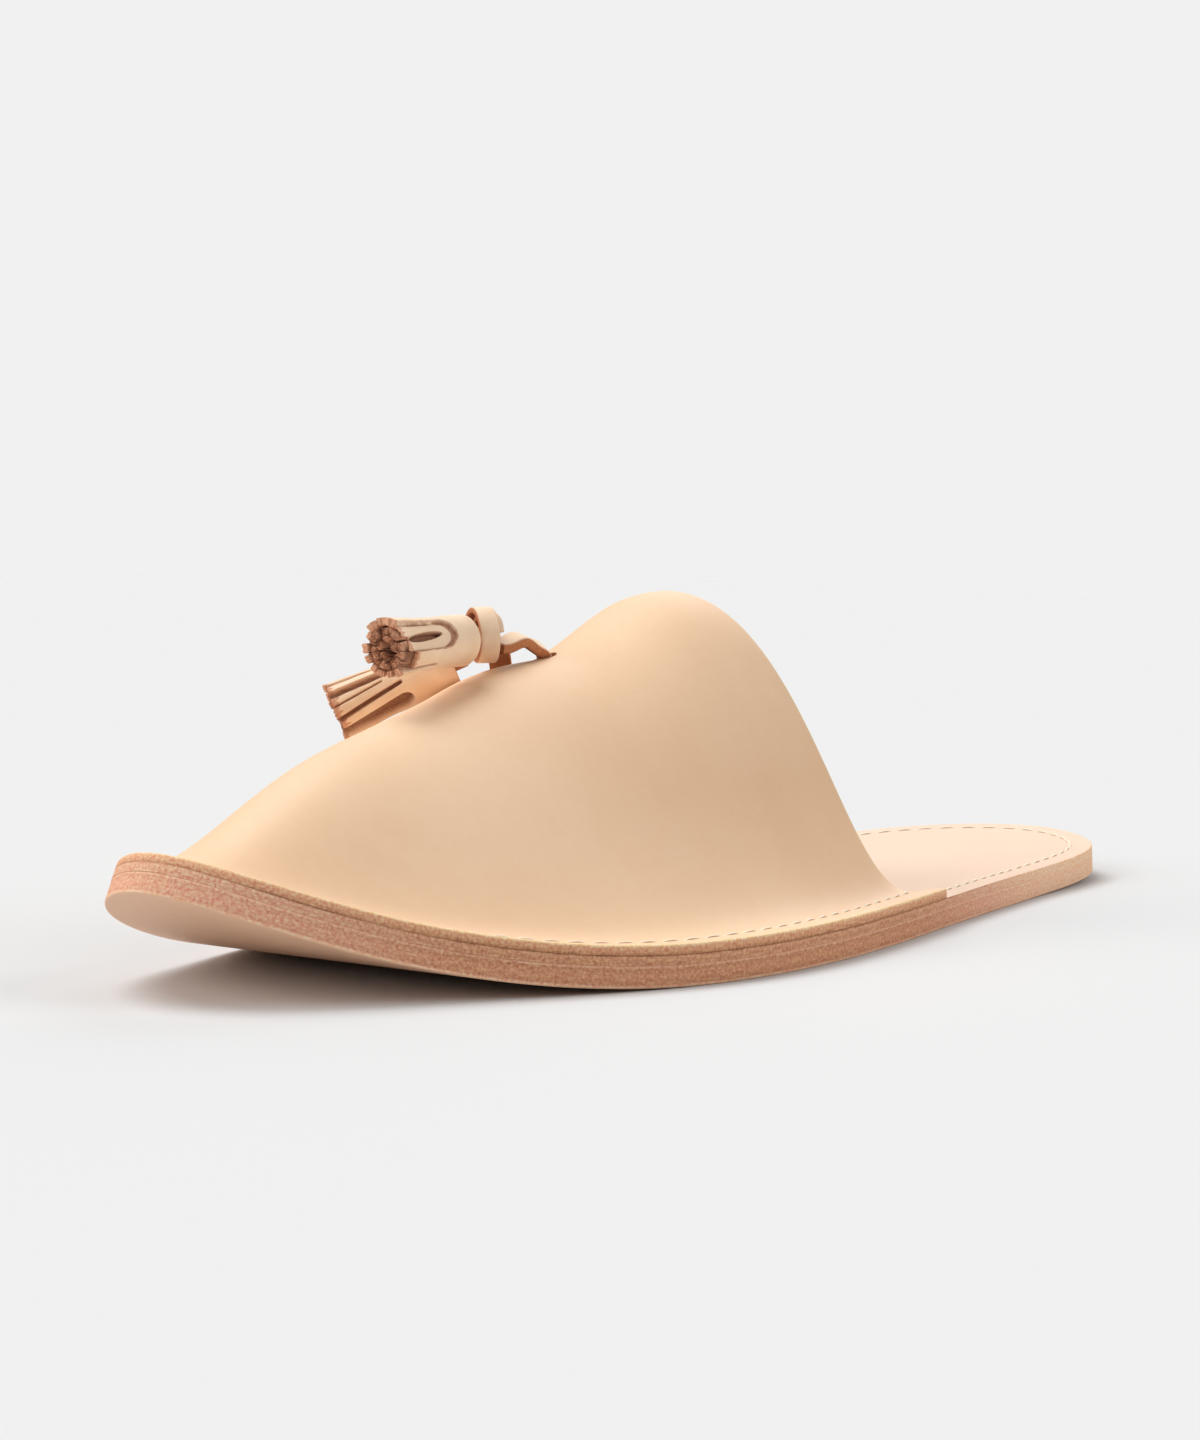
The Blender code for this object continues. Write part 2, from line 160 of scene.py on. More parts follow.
def smooth(low: float, high: float, value: Array) -> Array:
    """Return a soft step from 0 at low to 1 at high."""
    share = np.clip((value - low) / (high - low), 0, 1)
    return share * share * (3 - 2 * share)


def reach_along(points: Array, closed: bool = False) -> Array:
    """Return the length run along a path up to each of its points, and back to its start if it is closed."""
    points = np.vstack([points, points[:1]]) if closed else points
    return np.concatenate([[0], np.cumsum(np.linalg.norm(np.diff(points, axis=0), axis=1))])


def outward_of(ring: Array) -> Array:
    """Return the directions square to a closed line on the plan, away from its middle."""
    ahead = np.roll(ring, -1, axis=0) - np.roll(ring, 1, axis=0)
    return unit(np.c_[-ahead[:, 1], ahead[:, 0]])


def spline(knots: Sequence[float], values: Array, closed: bool = False) -> Callable[[Array], Array]:
    """Return the cubic curve with continuous curvature through values at the given knots.

    Args:
        knots: Rising places of the values.
        values: One row for each knot.
        closed: Whether the curve closes on itself; the last value then repeats the first.

    Returns:
        A function of an array of places.  An open curve ends with no curvature.
    """
    knots = np.asarray(knots, float)
    values = np.asarray(values, float).reshape(len(knots), -1)
    steps = np.diff(knots)
    slopes = np.diff(values, axis=0) / steps[:, None]
    count = len(knots)
    system = np.zeros((count, count))
    target = np.zeros(values.shape)
    inner = np.arange(1, count - 1)
    system[inner, inner - 1] = steps[:-1]
    system[inner, inner] = 2 * (steps[:-1] + steps[1:])
    system[inner, inner + 1] = steps[1:]
    target[1:-1] = 6 * np.diff(slopes, axis=0)
    if closed:
        system[0, [0, 1, -2]] = 2 * (steps[-1] + steps[0]), steps[0], steps[-1]
        target[0] = 6 * (slopes[0] - slopes[-1])
        system[-1, [0, -1]] = 1, -1
    else:
        system[0, 0] = system[-1, -1] = 1
    bends = np.linalg.solve(system, target)

    def curve(at: Array) -> Array:
        """Return the curve's values at the given places."""
        at = np.asarray(at, float)
        i = np.clip(np.searchsorted(knots, at, side="right") - 1, 0, count - 2)
        width = steps[i][..., None]
        left = (knots[i + 1] - at)[..., None]
        right = (at - knots[i])[..., None]
        cubic = (bends[i] * left**3 + bends[i + 1] * right**3) / (6 * width)
        ends = (values[i] / width - bends[i] * width / 6) * left
        ends = ends + (values[i + 1] / width - bends[i + 1] * width / 6) * right
        return (cubic + ends).squeeze(-1) if values.shape[1] == 1 else cubic + ends

    return curve


def grid_quads(rows: int, columns: int, wrap: bool = False) -> Array:
    """Return the corner numbers of a grid's faces, row by row.

    Args:
        rows: Number of rows of points.
        columns: Number of points in a row.
        wrap: Whether the last point of a row joins the first.

    Returns:
        An array of faces with four corners each.
    """
    across = columns if wrap else columns - 1
    row, column = np.meshgrid(np.arange(rows - 1), np.arange(across), indexing="ij")
    after = (column + 1) % columns
    low, high = row * columns, (row + 1) * columns
    return np.stack([low + column, low + after, high + after, high + column], axis=-1).reshape(-1, 4)


def corner_values(values: Array, rows: int, columns: int) -> Array:
    """Return the values of a wrapped grid at the corners of its faces, in the order of grid_quads.

    Args:
        values: A grid of rows by columns + 1, whose last column belongs to the closing face.
        rows: Number of rows of points.
        columns: Number of points in a row.

    Returns:
        One value for each corner of each face.
    """
    row, column = np.meshgrid(np.arange(rows - 1), np.arange(columns), indexing="ij")
    corners = [(row, column), (row, column + 1), (row + 1, column + 1), (row + 1, column)]
    return np.stack([values[r, c] for r, c in corners], axis=2).reshape(-1, values.shape[-1])


def linked(name: str, data: bpy.types.ID) -> bpy.types.Object:
    """Return a new object of that name, linked to the scene."""
    made = bpy.data.objects.new(name, data)
    bpy.context.scene.collection.objects.link(made)
    return made


@dataclass
class Skin:
    """A mesh in the making: points, faces of four corners, and what its finishes read.

    Attributes:
        name: Name of the piece.
        points: Points in the shoe's frame.
        faces: Corner numbers, four a face.
        zones: Material slot of each face.
        uv: Two values for each corner of each face.
        values: Named values for each point, such as how raw the leather is there.
    """

    name: str
    points: Array
    faces: Array
    zones: Array | None = None
    uv: Array | None = None
    values: dict[str, Array] = field(default_factory=dict)

    def to_object(self, materials: Sequence[bpy.types.Material], centre: Array) -> bpy.types.Object:
        """Return the finished object, closed, facing out and shaded smooth except at its corners.

        Args:
            materials: One material for each zone in use.
            centre: Middle of the outline, which becomes the origin.

        Returns:
            The object, at the origin and linked to the scene.
        """
        mesh = bpy.data.meshes.new(self.name)
        mesh.vertices.add(len(self.points))
        mesh.vertices.foreach_set("co", (self.points - centre).astype(np.float32).ravel())
        mesh.loops.add(self.faces.size)
        mesh.loops.foreach_set("vertex_index", self.faces.astype(np.int32).ravel())
        mesh.polygons.add(len(self.faces))
        mesh.polygons.foreach_set("loop_start", np.arange(0, self.faces.size, 4, dtype=np.int32))
        if self.zones is not None:
            mesh.polygons.foreach_set("material_index", self.zones.astype(np.int32))
        mesh.update(calc_edges=True)
        if self.uv is not None:
            mesh.uv_layers.new(name="along_edge").data.foreach_set("uv", self.uv.astype(np.float32).ravel())
        for name, values in self.values.items():
            layer = mesh.attributes.new(name, "FLOAT", "POINT")
            layer.data.foreach_set("value", values.astype(np.float32).ravel())
        work = bmesh.new()
        work.from_mesh(mesh)
        bmesh.ops.remove_doubles(work, verts=work.verts, dist=0.0005 * MM)
        bmesh.ops.dissolve_degenerate(work, edges=work.edges, dist=0.0001 * MM)
        bmesh.ops.recalc_face_normals(work, faces=work.faces)
        work.to_mesh(mesh)
        work.free()
        for material in materials:
            mesh.materials.append(material)
        mesh.shade_smooth()
        mesh.set_sharp_from_angle(angle=math.radians(50))
        return linked(self.name, mesh)


class Graph:
    """Node tree of one material, with short calls for the nodes that the finishes use."""

    def __init__(self, name: str) -> None:
        """Start a material with its own Principled shader."""
        self.material = bpy.data.materials.new(name)
        self.material.use_nodes = True
        self.tree = self.material.node_tree
        self.shader = self.tree.nodes["Principled BSDF"]

    def put(self, socket: bpy.types.NodeSocket, value: object) -> None:
        """Link a socket to an input, or set its constant value."""
        if isinstance(value, bpy.types.NodeSocket):
            self.tree.links.new(value, socket)
        else:
            socket.default_value = value

    def fill(self, node: bpy.types.Node, inputs: dict[str, object]) -> None:
        """Put values on a node's inputs, named in lower case."""
        sockets = {socket.name.lower().replace(" ", "_"): socket for socket in node.inputs}
        for name, value in inputs.items():
            self.put(sockets[name], value)

    def node(self, kind: str, **inputs: object) -> bpy.types.Node:
        """Add a node and put values on its inputs by their names in lower case."""
        made = self.tree.nodes.new(kind)
        self.fill(made, inputs)
        return made

    def shade(self, **inputs: object) -> None:
        """Put values on the shader's inputs."""
        self.fill(self.shader, inputs)

    def place(self) -> bpy.types.NodeSocket:
        """Return the object coordinates."""
        return self.tree.nodes.new("ShaderNodeTexCoord").outputs["Object"]

    def uv(self) -> bpy.types.NodeSocket:
        """Return the piece's own coordinates along an edge or a strip."""
        made = self.tree.nodes.new("ShaderNodeUVMap")
        made.uv_map = "along_edge"
        return made.outputs["UV"]

    def value(self, name: str) -> bpy.types.NodeSocket:
        """Return a named value of the mesh."""
        made = self.tree.nodes.new("ShaderNodeAttribute")
        made.attribute_name = name
        return made.outputs["Fac"]

    def scaled(self, vector: bpy.types.NodeSocket, scale: tuple[float, float, float]) -> bpy.types.NodeSocket:
        """Return coordinates stretched along their axes."""
        return self.node("ShaderNodeMapping", vector=vector, scale=scale).outputs["Vector"]

    def noise(
        self, vector: bpy.types.NodeSocket, scale: float, detail: float = 3, roughness: float = 0.5
    ) -> bpy.types.NodeSocket:
        """Return soft noise from 0 to 1."""
        made = self.node("ShaderNodeTexNoise", vector=vector, scale=scale, detail=detail, roughness=roughness)
        return made.outputs["Fac"]

    def cells(self, vector: bpy.types.NodeSocket, scale: float) -> bpy.types.NodeSocket:
        """Return the distance to the middle of small uneven cells."""
        return self.node("ShaderNodeTexVoronoi", vector=vector, scale=scale).outputs["Distance"]

    def axis(self, vector: bpy.types.NodeSocket, name: str) -> bpy.types.NodeSocket:
        """Return the coordinate of that name: X, Y or Z."""
        return self.node("ShaderNodeSeparateXYZ", vector=vector).outputs[name]

    def ramp(self, factor: object, stops: Sequence[tuple[float, Colour]]) -> bpy.types.NodeSocket:
        """Return a colour that runs through the given stops."""
        made = self.tree.nodes.new("ShaderNodeValToRGB")
        ramp = made.color_ramp
        for _ in stops[2:]:
            ramp.elements.new(0.5)
        for element, (at, colour) in zip(ramp.elements, stops):
            element.position = at
            element.color = linear(colour)
        self.put(made.inputs["Fac"], factor)
        return made.outputs["Color"]

    def mix(self, factor: object, first: object, second: object, way: str = "MIX") -> bpy.types.NodeSocket:
        """Return two colours mixed by a factor."""
        made = self.tree.nodes.new("ShaderNodeMix")
        made.data_type = "RGBA"
        made.blend_type = way
        for socket, value in zip((made.inputs[0], made.inputs[6], made.inputs[7]), (factor, first, second)):
            self.put(socket, value)
        return made.outputs[2]

    def sum(self, first: object, share: float, rest: object) -> bpy.types.NodeSocket:
        """Return the first value times a share, plus the rest."""
        made = self.tree.nodes.new("ShaderNodeMath")
        made.operation = "MULTIPLY_ADD"
        for socket, value in zip(made.inputs, (first, share, rest)):
            self.put(socket, value)
        return made.outputs[0]

    def step(self, value: object, low: float, high: float, start: float, end: float) -> bpy.types.NodeSocket:
        """Return a value mapped from one range to another and held at its ends."""
        made = self.tree.nodes.new("ShaderNodeMapRange")
        for socket, put in zip(made.inputs, (value, low, high, start, end)):
            self.put(socket, put)
        return made.outputs["Result"]

    def bump(self, height: object, strength: float, distance: float) -> None:
        """Give the shader a relief of the given height."""
        made = self.node("ShaderNodeBump", height=height, strength=strength, distance=distance)
        self.put(self.shader.inputs["Normal"], made.outputs["Normal"])


@dataclass(frozen=True)
class GrainLeather:
    """Smooth natural leather, grain side out: slow clouds of colour, fine pores, a satin gloss, and painted
    shade darkening the flank a little below its middle.

    Attributes:
        name: Name of the material.
        light: Colour of the clouds' light places.
        dark: Colour of the clouds' dark places.
        gloss: Roughness of the surface.
        flank_painted_shade: Painted shade over the height of the flank, from 0 at its foot to 1 at its top.
        flank: Heights over the floor of the flank's foot and top.
        fade: Places along the shoe between which the painted shade dies out towards the toe.
    """

    name: str
    light: Colour
    dark: Colour
    gloss: float = 0.5
    flank_painted_shade: tuple[tuple[float, Colour], ...] = (
        (0.0, (255, 255, 255)),
        (0.4, (244, 239, 233)),
        (0.65, (248, 245, 241)),
        (1.0, (255, 255, 255)),
    )
    flank: tuple[float, float] = (10 * MM, 64 * MM)
    fade: tuple[float, float] = (30 * MM, 75 * MM)

    def material(self) -> bpy.types.Material:
        """Return the material."""
        graph = Graph(self.name)
        place = graph.place()
        clouds = graph.noise(place, 22, 4, 0.55)
        flecks = graph.noise(place, 520, 4, 0.6)
        tone = graph.sum(flecks, 0.22, graph.sum(clouds, 0.78, 0.0))
        tone = graph.ramp(tone, [(0.34, self.dark), (0.66, self.light)])
        # Painted shade: a darker band across the flank, a little below its middle, multiplied over the
        # leather's colour and fading out towards the toe.
        painted_shade = graph.ramp(graph.step(graph.axis(place, "Z"), *self.flank, 0.0, 1.0), self.flank_painted_shade)
        share = graph.step(graph.axis(place, "Y"), *self.fade, 1.0, 0.0)
        graph.shade(base_color=graph.mix(share, tone, painted_shade, "MULTIPLY"))
        pores = graph.cells(place, 2300)
        folds = graph.noise(place, 900, 5, 0.65)
        graph.shade(roughness=graph.step(folds, 0.3, 0.7, self.gloss - 0.05, self.gloss + 0.07))
        graph.bump(graph.sum(pores, 0.35, folds), 0.16, 0.12 * MM)
        graph.shade(coat_weight=0.06, coat_roughness=0.4, specular_ior_level=0.4)
        return graph.material


@dataclass(frozen=True)
class FleshLeather:
    """Inner side of leather: brown, felted and dull.

    Attributes:
        name: Name of the material.
        light: Colour of the raised nap.
        dark: Colour between the nap.
    """

    name: str
    light: Colour
    dark: Colour

    def material(self) -> bpy.types.Material:
        """Return the material."""
        graph = Graph(self.name)
        place = graph.place()
        nap = graph.noise(place, 1300, 6, 0.7)
        clouds = graph.noise(place, 60, 3, 0.5)
        tone = graph.sum(nap, 0.55, graph.sum(clouds, 0.45, 0.0))
        graph.shade(base_color=graph.ramp(tone, [(0.32, self.dark), (0.68, self.light)]))
        graph.bump(nap, 0.55, 0.25 * MM)
        graph.shade(roughness=0.92, sheen_weight=0.2, specular_ior_level=0.2)
        return graph.material


@dataclass(frozen=True)
class EdgeLeather:
    """Raw cut edge of one layer: fibres along it, flecks, and bands of tone across its height.

    Attributes:
        name: Name of the material.
        height: Thickness of the layer.
        bands: Places across the height, from 0 to 1, with their colours.
        pale: Colour that the edge fades to at the heel and the toe.
    """

    name: str
    height: float
    bands: tuple[tuple[float, Colour], ...]
    pale: Colour

    def material(self) -> bpy.types.Material:
        """Return the material."""
        graph = Graph(self.name)
        along = graph.uv()
        tone = graph.ramp(graph.axis(along, "Y"), self.bands)
        tone = graph.mix(graph.value("pale"), tone, linear(self.pale))
        in_mm = graph.scaled(along, (1 / MM, self.height / MM, 1))
        fibres = graph.noise(graph.scaled(in_mm, (0.22, 2.6, 1)), 1.0, 5, 0.6)
        flecks = graph.noise(in_mm, 1.5, 5, 0.75)
        streaks = graph.ramp(fibres, [(0.3, (96, 88, 84)), (0.7, (206, 204, 202))])
        specks = graph.ramp(flecks, [(0.34, (84, 62, 50)), (0.66, (232, 226, 220))])
        tone = graph.mix(0.3, tone, streaks, "OVERLAY")
        tone = graph.mix(0.65, tone, specks, "OVERLAY")
        graph.shade(base_color=tone)
        graph.bump(graph.sum(flecks, 0.8, fibres), 0.5, 0.22 * MM)
        graph.shade(roughness=0.82, specular_ior_level=0.25)
        return graph.material


@dataclass(frozen=True)
class StripLeather:
    """Leather of lace, knot and tassels: smooth grain, brown where the mesh's value cut is 1, and painted
    shade where its value deep is high.

    Attributes:
        name: Name of the material.
        light: Light places of the grain side.
        dark: Dark places of the grain side.
        raw: Colour of cut edges and flesh side.
        deep: Darker raw colour, between the fibres.
        hollow: Colour of painted shade in grooves and hollows, where the mesh's value deep is 1; the inner
            side of the strips darkens towards it too.
    """

    name: str
    light: Colour
    dark: Colour
    raw: Colour
    deep: Colour
    hollow: Colour

    def material(self) -> bpy.types.Material:
        """Return the material."""
        graph = Graph(self.name)
        place = graph.place()
        cut = graph.value("cut")
        clouds = graph.noise(place, 130, 4, 0.55)
        fuzz = graph.noise(place, 1900, 5, 0.7)
        grain = graph.ramp(clouds, [(0.33, self.dark), (0.67, self.light)])
        nap = graph.sum(fuzz, 0.65, graph.sum(clouds, 0.35, 0.0))
        rough = graph.ramp(nap, [(0.34, self.deep), (0.66, self.raw)])
        # Painted shade: the raw colour darkens towards the hollow colour by the mesh's value deep.
        rough = graph.mix(graph.value("deep"), rough, linear(self.hollow))
        graph.shade(base_color=graph.mix(cut, grain, rough))
        graph.shade(roughness=graph.step(cut, 0, 1, 0.5, 0.92))
        graph.bump(fuzz, 0.35, 0.16 * MM)
        graph.shade(specular_ior_level=0.32)
        return graph.material


@dataclass(frozen=True)
class WaxedThread:
    """Pale waxed thread of two plies.

    Attributes:
        name: Name of the material.
        light: Colour of the plies.
        dark: Colour between the plies.
    """

    name: str
    light: Colour
    dark: Colour

    def material(self) -> bpy.types.Material:
        """Return the material."""
        graph = Graph(self.name)
        turned = graph.node("ShaderNodeMapping", vector=graph.uv(), rotation=(0, 0, math.radians(38)))
        plies = graph.node("ShaderNodeTexWave", vector=turned.outputs["Vector"], scale=1.6, distortion=0.6)
        twist = plies.outputs["Fac"]
        graph.shade(base_color=graph.ramp(twist, [(0.1, self.dark), (0.5, self.light)]))
        graph.bump(twist, 0.2, 0.1 * MM)
        graph.shade(roughness=0.6)
        return graph.material


@dataclass
class Last:
    """Form that the slipper is made over: outline, bend of the sole and sections of the upper."""

    length: float = 280 * MM
    heel_end_x: float = 1.5 * MM
    toe_end_x: float = 5.2 * MM
    toe_spring: float = 20.3 * MM
    toe_break: float = 191 * MM
    toe_power: float = 2.45
    heel_lift: float = 2.6 * MM
    heel_break: float = 62 * MM
    loop_points: int = 3000
    outline: tuple[Station, ...] = (
        Station(14 * MM, -23.8 * MM, 28.3 * MM),
        Station(45 * MM, -32.9 * MM, 37.6 * MM),
        Station(105 * MM, -46.3 * MM, 37.9 * MM),
        Station(187 * MM, -57.8 * MM, 47.6 * MM),
        Station(238 * MM, -36.7 * MM, 38.0 * MM),
        Station(266 * MM, -17.5 * MM, 28.4 * MM),
    )

    @cached_property
    def loop(self) -> Array:
        """Points of the closed outline, from the heel end round by the lateral side."""
        corners = [(self.heel_end_x, 0.0)]
        corners += [(row.lateral, row.along) for row in self.outline]
        corners += [(self.toe_end_x, self.length)]
        corners += [(row.medial, row.along) for row in reversed(self.outline)]
        corners += corners[:1]
        gaps = np.linalg.norm(np.diff(corners, axis=0), axis=1) ** 0.5
        knots = np.concatenate([[0], np.cumsum(gaps)])
        places = np.linspace(0, knots[-1], self.loop_points, endpoint=False)
        loop = spline(knots, np.array(corners), True)(places)
        return np.roll(loop, -int(loop[:, 1].argmin()), axis=0)

    @cached_property
    def centre(self) -> Array:
        """Middle of the outline on the floor."""
        middle = (self.loop.min(axis=0) + self.loop.max(axis=0)) / 2
        return np.array([middle[0], middle[1], 0.0])

    def inset(self, distance: float) -> Array:
        """Return the outline moved inwards, square to itself, from its rear end round."""
        moved = self.loop - distance * outward_of(self.loop)
        return np.roll(moved, -int(moved[:, 1].argmin()), axis=0)

    def edges(self, along: Array, distance: float = 0.0) -> tuple[Array, Array]:
        """Return the lateral and medial x of the outline, moved inwards, at the given stations."""
        loop = self.inset(distance)
        turn = int(loop[:, 1].argmax())
        back = np.vstack([loop[turn:], loop[:1]])[::-1]
        lateral = np.interp(along, loop[: turn + 1, 1], loop[: turn + 1, 0])
        return lateral, np.interp(along, back[:, 1], back[:, 0])

    def rise(self, along: Array) -> Array:
        """Return the height of the underside over the floor: toe spring in front, a small lift behind."""
        toe = np.clip((along - self.toe_break) / (self.length - self.toe_break), 0, None) ** self.toe_power
        heel = np.clip((self.heel_break - along) / self.heel_break, 0, None) ** 2
        return self.toe_spring * toe + self.heel_lift * heel

    def tilt(self, along: Array) -> Array:
        """Return the angle of the bent sole to the floor."""
        step = 0.1 * MM
        return np.arctan((self.rise(along + step) - self.rise(along - step)) / (2 * step))

    def upright(self, along: Array) -> Array:
        """Return the direction square to the bent sole."""
        tilt = self.tilt(along)
        return np.stack([np.zeros_like(tilt), -np.sin(tilt), np.cos(tilt)], axis=-1)

    def on_sole(self, x: Array, along: Array, height: Array) -> Array:
        """Return points at a height over the underside, measured square to the bent sole."""
        x, along, height = np.broadcast_arrays(x, along, height)
        foot = np.stack([x, along, self.rise(along)], axis=-1)
        return foot + height[..., None] * self.upright(along)


@dataclass
class SoleLayer:
    """One leather layer of the sole, run round the outline and over a profile.

    The profile starts at the middle line of the underside, runs out to the edge, up the edge and back in to
    the middle line of the top.  Insets up to the rim's width are square to the outline; further in, the
    points slide straight to the middle line.
    """

    name: str
    node: str
    base: float
    thick: float
    low_corner: float
    high_corner: float
    seam_inset: float
    seam_depth: float
    wobble: float
    stations: int = 300
    rim: float = 9 * MM
    slides: tuple[float, ...] = (1, 0.82, 0.64, 0.46, 0.3, 0.14)
    insets: tuple[float, ...] = (9, 7.4, 6.4, 5.9, 5.5, 5.2, 4.9, 4.6, 4.3, 3.9, 3.4, 2.4, 1.5, 0.9)
    seam_width: float = 0.55 * MM
    middle_start: float = 32 * MM
    middle_end: float = 252 * MM

    def profile(self) -> Array:
        """Return rows of inset, share of the way to the middle line, and height; insets are given in mm."""
        turns = np.radians([0, 30, 60, 90])
        low = self.low_corner * np.c_[1 - np.sin(turns), 1 - np.cos(turns)]
        high = self.high_corner * np.c_[1 - np.sin(turns[::-1]), np.cos(turns[::-1]) - 1]
        heights = np.linspace(self.low_corner, self.thick - self.high_corner, 9)[1:-1]
        edge = np.vstack([low, np.c_[0 * heights, heights], high + [0, self.thick]])
        inset = np.concatenate([np.full(len(self.slides), self.rim), np.array(self.insets) * MM])
        slide = np.concatenate([self.slides, np.zeros(len(self.insets))])
        dip = self.seam_depth * np.exp(-(((inset - self.seam_inset) / self.seam_width) ** 2))
        under = np.c_[inset, slide, 0 * inset]
        top = np.c_[inset, slide, self.thick - dip][::-1]
        return np.vstack([under, np.insert(edge, 1, 0, axis=1), top])

    def skin(self, last: Last) -> Skin:
        """Return the layer's mesh: outline points by profile rows.

        Args:
            last: Form of the shoe.

        Returns:
            The closed mesh, with the length round the edge and the share of its height as coordinates.
        """
        loop = last.loop
        rear, front = loop[:, 1].min(), loop[:, 1].max()
        turns = np.linspace(0, math.pi, self.stations + 1)
        along = (rear + front) / 2 - (front - rear) / 2 * np.cos(turns)
        lateral, medial = last.edges(along)
        ring = np.vstack([np.c_[lateral, along], np.c_[medial, along][-2:0:-1]])
        outward = outward_of(ring)
        reach = reach_along(ring, closed=True)
        turn = 2 * math.pi * reach[:-1] / reach[-1]
        uneven = self.wobble * (np.sin(9 * turn + self.base * 4000) + 0.6 * np.sin(23 * turn + 1.3))
        ring = ring + uneven[:, None] * outward
        middle = np.clip(ring[:, 1], self.middle_start, self.middle_end)
        spine = np.c_[np.mean(last.edges(middle), axis=0), middle]
        profile = self.profile()
        inset, slide, height = (profile[:, i][:, None, None] for i in range(3))
        plan = (ring - inset * outward) * (1 - slide) + spine * slide
        points = last.on_sole(plan[..., 0], plan[..., 1], self.base + height[..., 0])
        rows, columns = points.shape[:2]
        share = np.clip(profile[:, 2] / self.thick, 0, 1)
        uv = np.stack(np.meshgrid(share, reach, indexing="ij")[::-1], axis=-1)
        edge = (profile[:, 0] < self.high_corner + 0.01 * MM) & (profile[:, 1] == 0)
        bands = np.where(edge[:-1] & edge[1:], Zone.EDGE.value, Zone.GRAIN.value)
        under = np.arange(rows - 1) < rows // 2
        bands = np.where((bands == Zone.GRAIN.value) & under, Zone.FLESH.value, bands)
        pale = np.broadcast_to(paleness(ring[:, 1]), (rows, columns))
        return Skin(
            self.name,
            points.reshape(-1, 3),
            grid_quads(rows, columns, wrap=True),
            np.repeat(bands, columns),
            corner_values(uv, rows, columns),
            {"pale": pale},
        )


def paleness(along: Array) -> Array:
    """Return how pale the raw edge is: most at the heel, a little at the toe end."""
    return HEEL_PALE * (1 - smooth(*HEEL_FADE, along)) + TOE_PALE * smooth(*TOE_FADE, along)


